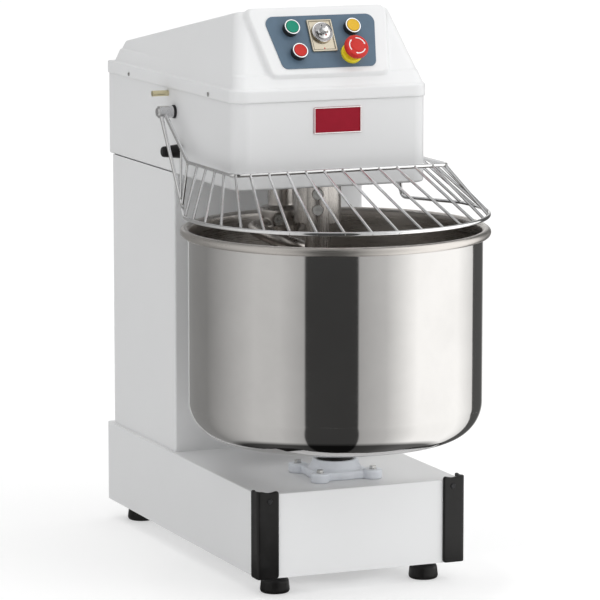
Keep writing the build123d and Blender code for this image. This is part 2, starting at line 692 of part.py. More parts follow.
# ---------------------------------------------------------------- control panel
CAP_RADIUS = 10.4
CAP_TOP = 14
BEZEL_RADIUS = 12.8
BEZEL_TOP = 13
WELL_FLOOR = 3
BUTTON_TRAVEL = 4
CAP_LOW = WELL_FLOOR + BUTTON_TRAVEL + GAP
STEM_RADIUS = 7.5
MUSHROOM_RADIUS = 20
MUSHROOM_LOW = 18
MUSHROOM_TOP = 32
COLLAR_TOP = 8
COLLAR_RADIUS = 17.5

with BuildPart() as control_panel:
    with BuildSketch(PAD_PLANE) as plan:
        with BuildLine():
            Polyline((-80, 9.5), (80, 9.5), (97, 102), (-97, 102), close=True)
        make_face()
        fillet(plan.vertices().group_by(Axis.Y)[-1], 14)
        fillet(plan.vertices().group_by(Axis.Y)[0], 11)
    extrude(plan.sketch, amount=PANEL_THICK)
    for place in BUTTON_PLACES + (EMERGENCY_AT,):
        pad_turn([(0, -1), (PANEL_HOLE, -1), (PANEL_HOLE, 2), (0, 2)], place, Mode.SUBTRACT)
    pad_block(TIMER_BODY + 1, TIMER_BODY + 1, -1, 2, TIMER_AT, mode=Mode.SUBTRACT)

with BuildPart() as button_bezels:
    for place in BUTTON_PLACES:
        pad_turn(
            [(STEM_RADIUS + GAP, -SHANK_LENGTH), (SHANK_RADIUS, -SHANK_LENGTH),
             (SHANK_RADIUS, PANEL_THICK), (BEZEL_RADIUS, PANEL_THICK),
             (BEZEL_RADIUS, BEZEL_TOP - 1), (BEZEL_RADIUS - 1, BEZEL_TOP),
             (CAP_RADIUS + GAP, BEZEL_TOP), (CAP_RADIUS + GAP, WELL_FLOOR),
             (STEM_RADIUS + GAP, WELL_FLOOR)],
            place,
        )


def push_button(place):
    """A flat round cap on a stem that slides in its bezel."""
    with BuildPart() as button:
        pad_turn(
            [(0, 2 - SHANK_LENGTH), (STEM_RADIUS, 2 - SHANK_LENGTH), (STEM_RADIUS, CAP_LOW),
             (CAP_RADIUS, CAP_LOW), (CAP_RADIUS, CAP_TOP - 0.8), (CAP_RADIUS - 0.8, CAP_TOP),
             (0, CAP_TOP)],
            place,
        )
    return button


slow_button = push_button(SLOW_AT)
stop_button = push_button(STOP_AT)
fast_button = push_button(FAST_AT)

with BuildPart() as emergency_stop_collar:
    pad_turn(
        [(STEM_RADIUS + GAP, -SHANK_LENGTH), (SHANK_RADIUS, -SHANK_LENGTH),
         (SHANK_RADIUS, PANEL_THICK), (COLLAR_RADIUS, PANEL_THICK),
         (COLLAR_RADIUS, COLLAR_TOP - 2), (COLLAR_RADIUS - 2, COLLAR_TOP),
         (STEM_RADIUS + GAP, COLLAR_TOP)],
        EMERGENCY_AT,
    )

with BuildPart() as emergency_stop:
    pad_turn(
        [(0, 2 - SHANK_LENGTH), (STEM_RADIUS, 2 - SHANK_LENGTH), (STEM_RADIUS, MUSHROOM_LOW),
         (13, MUSHROOM_LOW), (18.5, MUSHROOM_LOW + 3), (MUSHROOM_RADIUS, MUSHROOM_LOW + 6),
         (MUSHROOM_RADIUS, MUSHROOM_TOP - 5), (18.5, MUSHROOM_TOP - 2), (15, MUSHROOM_TOP - 0.6),
         (0, MUSHROOM_TOP)],
        EMERGENCY_AT,
    )

with BuildPart() as button_contact_blocks:
    for place in BUTTON_PLACES + (EMERGENCY_AT,):
        pad_block(28, 22, -SHANK_LENGTH - 28, -SHANK_LENGTH - 3, place, corner=2)

KNOB_SKIRT = 12.5
DIAL_TOP = 8

with BuildPart() as timer_body:
    pad_block(TIMER_BODY, TIMER_BODY, -45, PANEL_THICK, TIMER_AT)
    pad_turn([(0, -1), (4.5, -1), (4.5, 2), (0, 2)], DIAL_AT, Mode.SUBTRACT)

with BuildPart() as timer_plate:
    pad_block(43, 56, PANEL_THICK, 5, TIMER_AT, corner=1.5)
    fillet(timer_plate.edges().filter_by(lambda edge: edge.length > 35).sort_by_distance(
        PAD_PLANE.from_local_coords((TIMER_AT[0], TIMER_AT[1], 60)))[0:4], 0.8)
    pad_block(36, 49, 4, 6, TIMER_AT, corner=1, mode=Mode.SUBTRACT)
    pad_turn([(0, 3), (17, 3), (17, 6), (16, DIAL_TOP), (0, DIAL_TOP)], DIAL_AT)
    pad_turn([(0, 0), (4.5, 0), (4.5, 20), (0, 20)], DIAL_AT, Mode.SUBTRACT)

with BuildPart() as timer_knob:
    pad_turn(
        [(0, -0.5), (4, -0.5), (4, DIAL_TOP + GAP), (KNOB_SKIRT, DIAL_TOP + GAP),
         (KNOB_SKIRT - 1, 10), (9, 10.6), (6.8, 12.2), (6.2, 19), (5.2, 20.8), (3, 21.3), (0, 21.5)],
        DIAL_AT,
    )

# ---------------------------------------------------------------- spiral drive in the head
SPIRAL_HOUSING_TOP = 716
SHAFT_TOP = 784
SPIRAL_FLANGE = 50


def bored_tube(outer, low, high, at):
    """Adds a bearing tube with a seat at each end and a clear bore between them."""
    disc(outer, low, high, at)
    disc(SHAFT_RADIUS + 6, low, high, at, Mode.SUBTRACT)
    disc(BEARING_RADIUS + FIT, low, low + BEARING_WIDTH, at, Mode.SUBTRACT)
    disc(BEARING_RADIUS + FIT, high - BEARING_WIDTH, high, at, Mode.SUBTRACT)


with BuildPart() as spiral_bearing_housing:
    disc(SPIRAL_FLANGE, FLOOR_PLATE_TOP, FLOOR_PLATE_TOP + 9, SPIRAL_AXIS)
    bored_tube(39, FLOOR_PLATE_TOP, SPIRAL_HOUSING_TOP, SPIRAL_AXIS)

with BuildPart() as spiral_bearings:
    for low in (FLOOR_PLATE_TOP, SPIRAL_HOUSING_TOP - BEARING_WIDTH):
        ring(BEARING_RADIUS, SHAFT_RADIUS + FIT, low, low + BEARING_WIDTH, SPIRAL_AXIS)


def pulley(outer, bore, at):
    """Adds a two-groove V-belt pulley, its grooves a little wider than the belts."""
    disc(outer, PULLEY_LOW, PULLEY_HIGH, at)
    for z in BELT_ZS:
        top = BELT_TOP_HALF + 0.8
        root = BELT_ROOT_HALF + 0.6
        turn(
            [(outer - BELT_HEIGHT - 1, z - root), (outer + 1, z - top), (outer + 1, z + top),
             (outer - BELT_HEIGHT - 1, z + root)],
            at, Mode.SUBTRACT,
        )
    disc(bore + FIT, PULLEY_LOW - 1, PULLEY_HIGH + 1, at, Mode.SUBTRACT)


with BuildPart() as spiral_pulley:
    pulley(BIG_PULLEY_RADIUS, SHAFT_RADIUS, SPIRAL_AXIS)
    with BuildSketch(Plane.XY.offset(PULLEY_LOW)) as lightening:
        with Locations(SPIRAL_AXIS):
            with PolarLocations(68, 6):
                Circle(26)
    extrude(lightening.sketch, amount=PULLEY_HIGH - PULLEY_LOW, mode=Mode.SUBTRACT)

with BuildPart() as spiral_sprocket:
    sprocket(
        SMALL_TEETH, UPPER_CHAIN_Z, SPIRAL_AXIS, SHAFT_RADIUS,
        SPROCKET_HUB, PULLEY_HIGH + 1, UPPER_CHAIN_Z + 9,
    )

# ---------------------------------------------------------------- spiral hook
HOOK_BAR = 12.5
HOOK_RADIUS = 60
HOOK_PITCH = 145
HOOK_TOP = 558
HOOK_LOW = 256
HOOK_START = 203  # degrees
HOOK_FOOT_RADIUS = 24
HOOK_TURNS = (HOOK_TOP - HOOK_LOW) / HOOK_PITCH
HOOK_STEPS = 26
CURL_TURNS = 0.55  # the last part of a turn, where the foot curls in
HUB_TOP = FLOOR_PLATE_TOP - 3
BOSS_RADIUS = 36
CLAMP_BOLT_Z = 571


def hook_point(turned):
    """A point of the hook's centre line after this many turns, its foot curling inwards."""
    angle = radians(HOOK_START + 360 * turned)
    curl = max(0, turned - (HOOK_TURNS - CURL_TURNS)) / CURL_TURNS
    radius = HOOK_RADIUS - (HOOK_RADIUS - HOOK_FOOT_RADIUS) * curl**1.5
    height = HOOK_TOP - HOOK_PITCH * turned
    return (SPIRAL_AXIS[0] + radius * cos(angle), SPIRAL_AXIS[1] + radius * sin(angle), height)


hook_line = [hook_point(HOOK_TURNS * step / HOOK_STEPS) for step in range(HOOK_STEPS + 1)]

with BuildPart() as dough_spiral:
    turn(
        [(0, 542), (20, 542), (28, 548), (33, 560), (BOSS_RADIUS, 574), (BOSS_RADIUS, 585),
         (32, 589), (HUB_RADIUS, 590), (HUB_RADIUS, HUB_TOP), (0, HUB_TOP)],
        SPIRAL_AXIS,
    )
    arm = Vector(*hook_line[0]) - Vector(SPIRAL_AXIS[0], SPIRAL_AXIS[1], HOOK_TOP)
    arm_root = Plane(origin=(SPIRAL_AXIS[0], SPIRAL_AXIS[1], HOOK_TOP), z_dir=arm)
    with BuildSketch(arm_root) as arm_section:
        Circle(HOOK_BAR)
    extrude(arm_section.sketch, amount=HOOK_RADIUS)
    with Locations(hook_line[0]):
        Sphere(HOOK_BAR)
    with BuildLine() as centre_line:
        Spline(*hook_line)
    with BuildSketch(Plane(origin=centre_line.line @ 0, z_dir=centre_line.line % 0)) as bar:
        Circle(HOOK_BAR)
    sweep(bar.sketch, path=centre_line.line)
    with Locations(hook_line[-1]):
        Sphere(HOOK_BAR)
    camera_side = Plane(
        origin=(SPIRAL_AXIS[0], SPIRAL_AXIS[1], CLAMP_BOLT_Z), z_dir=(-0.45, -0.89, 0)
    )
    with BuildSketch(camera_side.offset(10)) as bolt_hole:
        Circle(5 + FIT)
    extrude(bolt_hole.sketch, amount=50, mode=Mode.SUBTRACT)
    with BuildSketch(camera_side.offset(BOSS_RADIUS - 4)) as bolt_seat:
        Circle(9)
    extrude(bolt_seat.sketch, amount=20, mode=Mode.SUBTRACT)

with BuildPart() as spiral_clamp_bolt:
    with BuildSketch(camera_side.offset(10)) as shank:
        Circle(5)
    extrude(shank.sketch, amount=BOSS_RADIUS - 14)
    with BuildSketch(camera_side.offset(BOSS_RADIUS - 4)) as bolt_head:
        Circle(8)
        RegularPolygon(4, 6, major_radius=False, mode=Mode.SUBTRACT)
    extrude(bolt_head.sketch, amount=8)
    with BuildSketch(camera_side.offset(BOSS_RADIUS - 4)) as socket_floor:
        Circle(6)
    extrude(socket_floor.sketch, amount=3)

with BuildPart() as spiral_shaft:
    disc(SHAFT_RADIUS, HUB_TOP, SHAFT_TOP, SPIRAL_AXIS)

# ---------------------------------------------------------------- breaker bar
POST_TOWARDS = Vector(-0.39, -0.921, 0)  # from the stub towards the front left
POST_OFFSET = 22
POST_RADIUS = 21
POST_LOW = 243
POST_TOP = HEAD_LOW
POST_BOLT_ZS = (623, 597.5)
POST_AXIS = (
    STUB_AXIS[0] + POST_OFFSET * POST_TOWARDS.X, STUB_AXIS[1] + POST_OFFSET * POST_TOWARDS.Y
)
STUB_FLANGE = 44


def post_plane(z, distance):
    """A plane that faces along the post's bolts, at a distance in front of the post's axis."""
    axis = Vector(POST_AXIS[0], POST_AXIS[1], z)
    return Plane(origin=axis + POST_TOWARDS * distance, z_dir=POST_TOWARDS)


with BuildPart() as breaker_bar_holder:
    disc(STUB_RADIUS, STUB_LOW, FLOOR_PLATE_TOP, STUB_AXIS)
    fillet(breaker_bar_holder.faces().sort_by(Axis.Z)[0].edges(), 1.5)
    disc(STUB_FLANGE, FLOOR_PLATE_TOP, FLOOR_PLATE_TOP + 8, STUB_AXIS)
    disc(POST_RADIUS + FIT, STUB_LOW, POST_TOP, POST_AXIS, Mode.SUBTRACT)
    for z in POST_BOLT_ZS:
        with BuildSketch(post_plane(z, -POST_RADIUS - 14)) as bolt_hole:
            Circle(BOLT_RADIUS + FIT)
        extrude(bolt_hole.sketch, amount=30, mode=Mode.SUBTRACT)

with BuildPart() as breaker_bar:
    disc(POST_RADIUS, POST_LOW, POST_TOP, POST_AXIS)
    fillet(breaker_bar.faces().sort_by(Axis.Z)[0].edges(), 8)
    for z in POST_BOLT_ZS:
        with BuildSketch(post_plane(z, -POST_RADIUS - 1)) as bolt_hole:
            Circle(BOLT_RADIUS + FIT)
        extrude(bolt_hole.sketch, amount=3 * POST_RADIUS, mode=Mode.SUBTRACT)
        with BuildSketch(post_plane(z, POST_RADIUS - 3)) as seat:
            Circle(9.5)
        extrude(seat.sketch, amount=10, mode=Mode.SUBTRACT)

with BuildPart() as breaker_bar_bolts:
    for z in POST_BOLT_ZS:
        with BuildSketch(post_plane(z, -POST_RADIUS - 12)) as shank:
            Circle(BOLT_RADIUS)
        extrude(shank.sketch, amount=2 * POST_RADIUS + 9)
        with BuildSketch(post_plane(z, POST_RADIUS - 3)) as bolt_head:
            Circle(8)
        extrude(bolt_head.sketch, amount=8)
        with BuildSketch(post_plane(z, POST_RADIUS + 1)) as socket:
            RegularPolygon(4, 6, major_radius=False)
        extrude(socket.sketch, amount=4, mode=Mode.SUBTRACT)

# ---------------------------------------------------------------- motor
MOTOR_PLATE_LOW = 588
MOTOR_BODY = (392, 588)
MOTOR_RADIUS = 70
ROTOR_RADIUS = 40
MOTOR_FINS = 28

with BuildPart() as motor_mount_plate:
    block(
        COLUMN_WIDTH - 2 * SHEET, 210, MOTOR_PLATE_LOW, MOTOR_PLATE_LOW + 8,
        (0, behind(455)), corner=3,
    )
    disc(30, MOTOR_PLATE_LOW, MOTOR_PLATE_LOW + 8, MOTOR_AXIS, Mode.SUBTRACT)

with BuildPart() as motor_stator:
    low, high = MOTOR_BODY
    disc(MOTOR_RADIUS, low, high, MOTOR_AXIS)
    with BuildSketch(Plane.XY.offset(low + 22)) as fins:
        with Locations(MOTOR_AXIS):
            with PolarLocations(MOTOR_RADIUS + 1, MOTOR_FINS):
                Rectangle(12, 2.5)
    extrude(fins.sketch, amount=high - low - 44)
    block(60, 40, low + 60, high - 50, (MOTOR_AXIS[0] - 72, MOTOR_AXIS[1]), corner=4)
    disc(ROTOR_RADIUS + 1, low + 16, high - 16, MOTOR_AXIS, Mode.SUBTRACT)
    disc(MOTOR_SHAFT_RADIUS + FIT, low, high, MOTOR_AXIS, Mode.SUBTRACT)

with BuildPart() as motor_rotor:
    low, high = MOTOR_BODY
    disc(MOTOR_SHAFT_RADIUS, low - 16, PULLEY_HIGH + 2, MOTOR_AXIS)
    disc(ROTOR_RADIUS, low + 20, high - 20, MOTOR_AXIS)
    disc(16, low - 14, low - 2, MOTOR_AXIS)
    with BuildSketch(Plane.XY.offset(low - 14)) as fan:
        with Locations(MOTOR_AXIS):
            with PolarLocations(36, 8):
                Rectangle(48, 2)
    extrude(fan.sketch, amount=10)

with BuildPart() as motor_pulley:
    pulley(SMALL_PULLEY_RADIUS, MOTOR_SHAFT_RADIUS, MOTOR_AXIS)


def loop_band(at_a, radius_a, at_b, radius_b, low, high, thickness):
    """Adds an endless band round two wheels, from its inner radii outwards."""
    with BuildSketch(Plane.XY.offset(low)) as plan:
        with Locations(at_a):
            Circle(radius_a + thickness)
        with Locations(at_b):
            Circle(radius_b + thickness)
        make_hull()
    with BuildSketch(Plane.XY.offset(low)) as hole:
        with Locations(at_a):
            Circle(radius_a)
        with Locations(at_b):
            Circle(radius_b)
        make_hull()
    extrude(plan.sketch - hole.sketch, amount=high - low)


with BuildPart() as drive_belts:
    for z in BELT_ZS:
        half = BELT_ROOT_HALF + 0.3
        loop_band(
            SPIRAL_AXIS, BIG_PULLEY_RADIUS - BELT_HEIGHT, MOTOR_AXIS,
            SMALL_PULLEY_RADIUS - BELT_HEIGHT, z - half, z + half, BELT_HEIGHT,
        )

# ---------------------------------------------------------------- countershaft and chains
COUNTER_LOW = LOWER_CHAIN_Z - 14
COUNTER_BLOCK = 16
UPPER_BLOCK_LOW = FLOOR_PLATE_TOP
LOWER_BLOCK_LOW = BASE_TOP - BASE_TOP_PLATE - COUNTER_BLOCK

with BuildPart() as countershaft:
    disc(COUNTER_RADIUS, COUNTER_LOW, SHAFT_TOP, COUNTER_AXIS)

with BuildPart() as countershaft_bearings:
    for low in (UPPER_BLOCK_LOW, LOWER_BLOCK_LOW):
        block(62, 62, low, low + COUNTER_BLOCK, COUNTER_AXIS, corner=8)
        disc(COUNTER_RADIUS + FIT, low, low + COUNTER_BLOCK, COUNTER_AXIS, Mode.SUBTRACT)

with BuildPart() as countershaft_sprockets:
    sprocket(
        LARGE_TEETH, UPPER_CHAIN_Z, COUNTER_AXIS, COUNTER_RADIUS,
        24, UPPER_CHAIN_Z - 12, UPPER_CHAIN_Z + 12,
    )
    sprocket(
        SMALL_TEETH, LOWER_CHAIN_Z, COUNTER_AXIS, COUNTER_RADIUS,
        16, LOWER_CHAIN_Z - 12, LOWER_CHAIN_Z + 12,
    )

PLATE_INNER = 4.4
PLATE_OUTER = 5.9
PLATE_HALF_HEIGHT = 5.5


def straight_rollers(small_at, large_at, mid):
    """Adds the rollers on a chain's two straight runs, clear of both sprockets' teeth."""
    small, large = Vector(*small_at), Vector(*large_at)
    along = (large - small).normalized()
    distance = (large - small).length
    lean = (LARGE_PITCH - SMALL_PITCH) / distance
    run = distance * (1 - lean**2) ** 0.5
    for side in (-1, 1):
        across = Vector(-along.Y, along.X) * side
        normal = across * (1 - lean**2) ** 0.5 - along * lean
        tangent = along * (1 - lean**2) ** 0.5 + across * lean
        count = int((run - 74) / CHAIN_PITCH)
        for step in range(count + 1):
            point = small + normal * SMALL_PITCH + tangent * (29 + step * CHAIN_PITCH)
            disc(ROLLER_RADIUS, mid - PLATE_OUTER, mid + PLATE_OUTER, (point.X, point.Y))


with BuildPart() as roller_chains:
    for small_at, large_at, mid in (
        (SPIRAL_AXIS, COUNTER_AXIS, UPPER_CHAIN_Z),
        (COUNTER_AXIS, BOWL_AXIS, LOWER_CHAIN_Z),
    ):
        for low, high in ((-PLATE_OUTER, -PLATE_INNER), (PLATE_INNER, PLATE_OUTER)):
            loop_band(
                small_at, SMALL_PITCH - PLATE_HALF_HEIGHT, large_at,
                LARGE_PITCH - PLATE_HALF_HEIGHT, mid + low, mid + high, 2 * PLATE_HALF_HEIGHT,
            )
        straight_rollers(small_at, large_at, mid)

# ---------------------------------------------------------------- guard
FRAME_HALF = 186.5
FRAME_Z = 665.9
FRAME_FRONT = -25.8
FRAME_BEND = 169
RING_RADIUS = 245
RING_Z = 594
RING_END_ANGLE = 10.4  # degrees behind the bowl axis
ARM_BEND = (195, 170, 590)
ARM_ROOT_HALF = 193
BAR_STEP_ANGLE = 10
FRONT_BAR_STEP = 31.5
SIDE_BAR_STEP = 38
BOSS_OUTER = 196
BOSS_INNER = 172.5
WELD_PROUD = 0.3


def spot(x, distance, z):
    """A point given by its distance behind the bowl axis."""
    return Vector(x, behind(distance), z)


def rod(start, end, radius):
    """Adds a straight round rod between two points."""
    length = (end - start).length
    with BuildSketch(Plane(origin=start, z_dir=end - start)) as section:
        Circle(radius)
    extrude(section.sketch, amount=length)


def bent_rod(points, radius):
    """Adds a rod along straight runs, with a ball at each bend."""
    for start, end in zip(points, points[1:]):
        rod(start, end, radius)
    for corner in points[1:-1]:
        with Locations(corner):
            Sphere(radius)


def ring_point(angle, radius=RING_RADIUS):
    """A point of the lower ring at an angle in degrees from the bowl's front, positive rightwards."""
    turned = radians(angle - 90)
    return spot(radius * cos(turned), radius * sin(turned), RING_Z)


with BuildPart() as guard_frame:
    bent_rod(
        [spot(-FRAME_HALF, PIVOT_BEHIND, PIVOT_Z), spot(-FRAME_HALF, FRAME_BEND, FRAME_Z),
         spot(-FRAME_HALF, FRAME_FRONT, FRAME_Z), spot(FRAME_HALF, FRAME_FRONT, FRAME_Z),
         spot(FRAME_HALF, FRAME_BEND, FRAME_Z), spot(FRAME_HALF, PIVOT_BEHIND, PIVOT_Z)],
        GUARD_WIRE,
    )

with BuildPart() as guard_ring:
    for side in (-1, 1):
        bend = spot(side * ARM_BEND[0], ARM_BEND[1], ARM_BEND[2])
        end = ring_point(side * (90 + RING_END_ANGLE))
        bent_rod([spot(side * ARM_ROOT_HALF, PIVOT_BEHIND, PIVOT_Z), bend, end], GUARD_WIRE)
        with Locations(end):
            Sphere(GUARD_WIRE + WELD_PROUD)
    start = ring_point(-90 - RING_END_ANGLE)
    forwards = Vector(start.X, start.Y - BOWL_Y).rotate(Axis.Z, 90)
    with BuildSketch(Plane(origin=start, z_dir=forwards)) as wire:
        Circle(GUARD_WIRE)
    revolve(
        wire.sketch, axis=Axis((0, BOWL_Y, 0), (0, 0, 1)),
        revolution_arc=180 + 2 * RING_END_ANGLE,
    )


def bar_top(step):
    """Where the bar of this number meets the upper frame."""
    side = 1 if step > 0 else -1
    if abs(step) <= 5:
        return spot(step * FRONT_BAR_STEP, FRAME_FRONT, FRAME_Z)
    if abs(step) == 6:
        return spot(side * (FRAME_HALF - 5), FRAME_FRONT, FRAME_Z)
    return spot(side * FRAME_HALF, FRAME_FRONT + SIDE_BAR_STEP * (abs(step) - 6), FRAME_Z)


with BuildPart() as guard_bars:
    for step in range(-10, 11):
        rod(bar_top(step), ring_point(step * BAR_STEP_ANGLE), BAR_WIRE)
    for side in (-1, 1):
        root = spot(side * ARM_ROOT_HALF, PIVOT_BEHIND, PIVOT_Z)
        bend = spot(side * ARM_BEND[0], ARM_BEND[1], ARM_BEND[2])
        frame_root = spot(side * FRAME_HALF, PIVOT_BEHIND, PIVOT_Z)
        frame_bend = spot(side * FRAME_HALF, FRAME_BEND, FRAME_Z)
        rod(frame_bend, bend + (root - bend) * 0.03, BAR_WIRE)
        rod(frame_bend + (frame_root - frame_bend) * 0.27, bend + (root - bend) * 0.09, BAR_WIRE)

with BuildPart() as guard_pivot_bolts:
    for side in (-1, 1):
        side_pin(side, 134, BOSS_OUTER, PIVOT_BEHIND, PIVOT_Z, PIVOT_RADIUS)
        side_pin(side, BOSS_INNER, BOSS_OUTER, PIVOT_BEHIND, PIVOT_Z, 10)
        with BuildSketch(side_plane(side, BOSS_OUTER, PIVOT_BEHIND, PIVOT_Z)) as cap:
            Circle(8.5)
        extrude(cap.sketch, amount=3, taper=30)
        side_pin(side, 151, 155, PIVOT_BEHIND, PIVOT_Z, 10)
        side_pin(side, 136, 146, PIVOT_BEHIND, PIVOT_Z, 11)

with BuildPart() as guard_pivot_bushes:
    for side in (-1, 1):
        side_pin(side, 156, HEAD_SIDE + 3, PIVOT_BEHIND, PIVOT_Z, BUSH_RADIUS)
        side_pin(side, HEAD_SIDE, HEAD_SIDE + 3, PIVOT_BEHIND, PIVOT_Z, BUSH_FLANGE)
        side_pin(side, 156, HEAD_SIDE - SHEET, PIVOT_BEHIND, PIVOT_Z, BUSH_FLANGE)
        side_pin(
            side, 150, HEAD_SIDE + 5, PIVOT_BEHIND, PIVOT_Z, PIVOT_RADIUS + FIT, Mode.SUBTRACT
        )

with BuildPart() as guard_rest_bumper:
    with BuildSketch(side_plane(-1, HEAD_SIDE, *BUMPER_AT)) as foot:
        Circle(12)
    extrude(foot.sketch, amount=34, taper=6)
    fillet(guard_rest_bumper.faces().sort_by(Axis.X)[0].edges(), 4)

with BuildPart() as guard_stop_pin:
    side_pin(-1, HEAD_SIDE - 12, HEAD_SIDE + 28, *STOP_PIN_AT, STOP_PIN_RADIUS)
    side_pin(-1, HEAD_SIDE - 8, HEAD_SIDE - SHEET, *STOP_PIN_AT, 8)

with BuildPart() as guard_switch:
    switch_low = PIVOT_Z + 16
    block(22, 44, switch_low, switch_low + 22, (-137, behind(PIVOT_BEHIND)), corner=2)
    block(18, 50, switch_low + 22, switch_low + 25, (-137, behind(PIVOT_BEHIND)))
    disc(3, PIVOT_Z + 12.5, switch_low, (-141, behind(PIVOT_BEHIND)))

# ---------------------------------------------------------------- write every piece
pieces = {
    "base_housing": base_housing,
    "corner_guard_left": corner_guard_left,
    "corner_guard_right": corner_guard_right,
    "corner_guard_screws": corner_guard_screws,
    "rubber_feet": rubber_feet,
    "foot_studs": foot_studs,
    "bowl_bearing_housing": bowl_bearing_housing,
    "bearing_housing_bolts": bearing_housing_bolts,
    "bowl_bearings": bowl_bearings,
    "bowl_shaft_seal": bowl_shaft_seal,
    "bowl": bowl,
    "bowl_hub": bowl_hub,
    "bowl_shaft": bowl_shaft,
    "bowl_sprocket": bowl_sprocket,
    "column_housing": column_housing,
    "rear_cover": rear_cover,
    "cord_gland": cord_gland,
    "head_housing": head_housing,
    "head_floor_plate": head_floor_plate,
    "badge_plate": badge_plate,
    "top_cover": top_cover,
    "cover_screws": cover_screws,
    "control_panel": control_panel,
    "button_bezels": button_bezels,
    "slow_button": slow_button,
    "stop_button": stop_button,
    "fast_button": fast_button,
    "emergency_stop_collar": emergency_stop_collar,
    "emergency_stop": emergency_stop,
    "button_contact_blocks": button_contact_blocks,
    "timer_body": timer_body,
    "timer_plate": timer_plate,
    "timer_knob": timer_knob,
    "spiral_bearing_housing": spiral_bearing_housing,
    "spiral_bearings": spiral_bearings,
    "spiral_pulley": spiral_pulley,
    "spiral_sprocket": spiral_sprocket,
    "dough_spiral": dough_spiral,
    "spiral_clamp_bolt": spiral_clamp_bolt,
    "spiral_shaft": spiral_shaft,
    "breaker_bar_holder": breaker_bar_holder,
    "breaker_bar": breaker_bar,
    "breaker_bar_bolts": breaker_bar_bolts,
    "motor_mount_plate": motor_mount_plate,
    "motor_stator": motor_stator,
    "motor_rotor": motor_rotor,
    "motor_pulley": motor_pulley,
    "drive_belts": drive_belts,
    "countershaft": countershaft,
    "countershaft_bearings": countershaft_bearings,
    "countershaft_sprockets": countershaft_sprockets,
    "roller_chains": roller_chains,
    "guard_frame": guard_frame,
    "guard_ring": guard_ring,
    "guard_bars": guard_bars,
    "guard_pivot_bolts": guard_pivot_bolts,
    "guard_pivot_bushes": guard_pivot_bushes,
    "guard_rest_bumper": guard_rest_bumper,
    "guard_stop_pin": guard_stop_pin,
    "guard_switch": guard_switch,
}

for label, piece in pieces.items():
    piece.part.label = label
    export_step(piece.part, f"parts/{label}.step")
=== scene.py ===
"""Looks for the spiral dough mixer: materials, refined meshes, floor, lights and camera.

Metres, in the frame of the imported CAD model: X across the machine, Y from the bowl back to the
column, Z up from the floor.
"""

import json
import random
from math import cos, pi, radians, sin, tan

import bmesh
import bpy
from mathutils import Matrix, Vector


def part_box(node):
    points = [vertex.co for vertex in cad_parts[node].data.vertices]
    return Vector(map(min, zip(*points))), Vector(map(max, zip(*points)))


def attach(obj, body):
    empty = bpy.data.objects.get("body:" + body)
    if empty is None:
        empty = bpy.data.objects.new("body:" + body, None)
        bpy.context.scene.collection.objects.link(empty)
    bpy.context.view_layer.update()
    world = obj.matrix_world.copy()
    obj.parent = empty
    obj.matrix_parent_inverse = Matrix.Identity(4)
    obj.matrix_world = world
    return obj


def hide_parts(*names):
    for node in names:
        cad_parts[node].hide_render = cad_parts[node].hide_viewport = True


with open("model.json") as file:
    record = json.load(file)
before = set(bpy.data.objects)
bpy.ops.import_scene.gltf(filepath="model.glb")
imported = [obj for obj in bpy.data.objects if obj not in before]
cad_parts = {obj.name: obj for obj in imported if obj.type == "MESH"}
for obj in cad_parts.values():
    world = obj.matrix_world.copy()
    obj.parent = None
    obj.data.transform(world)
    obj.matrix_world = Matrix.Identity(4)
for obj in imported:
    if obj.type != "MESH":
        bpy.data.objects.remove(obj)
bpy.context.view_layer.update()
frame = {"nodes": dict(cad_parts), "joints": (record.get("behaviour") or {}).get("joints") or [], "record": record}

MM = 0.001
nodes = frame["nodes"]
random.seed(7)

# ---------------------------------------------------------------- places read from the frame
bowl_low, bowl_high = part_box("bowl")
BOWL_AXIS = Vector(((bowl_low.x + bowl_high.x) / 2, (bowl_low.y + bowl_high.y) / 2, 0))


def joint(name):
    """The record's entry for one joint."""
    return next(j for j in frame["joints"] if j["name"] == name)


TIMER_SEAT = Vector(joint("timer_turn")["pos_m"])
PAD_NORMAL = -Vector(joint("timer_turn")["axis"]).normalized()
PAD_RIGHT = Vector((1, 0, 0))
PAD_UP = PAD_NORMAL.cross(PAD_RIGHT)
DIAL_AT = (-3, 69)  # on the panel's own axes, in millimetres, as are the other controls
PAD_ORIGIN = TIMER_SEAT - (PAD_RIGHT * DIAL_AT[0] + PAD_UP * DIAL_AT[1]) * MM

# ---------------------------------------------------------------- material helpers


def link(tree, source, target):
    """Joins an output socket to an input socket."""
    tree.links.new(source, target)


def new_material(name, color, roughness, metallic=0.0):
    """A Principled material; returns it with its tree and shader."""
    material = bpy.data.materials.new(name)
    material.use_nodes = True
    tree = material.node_tree
    shader = tree.nodes["Principled BSDF"]
    shader.inputs["Base Color"].default_value = (*color, 1)
    shader.inputs["Roughness"].default_value = roughness
    shader.inputs["Metallic"].default_value = metallic
    return material, tree, shader


def coordinates(tree, stretch=(1, 1, 1)):
    """Object coordinates, stretched per axis."""
    place = tree.nodes.new("ShaderNodeTexCoord")
    mapping = tree.nodes.new("ShaderNodeMapping")
    mapping.inputs["Scale"].default_value = stretch
    link(tree, place.outputs["Object"], mapping.inputs["Vector"])
    return mapping.outputs["Vector"]


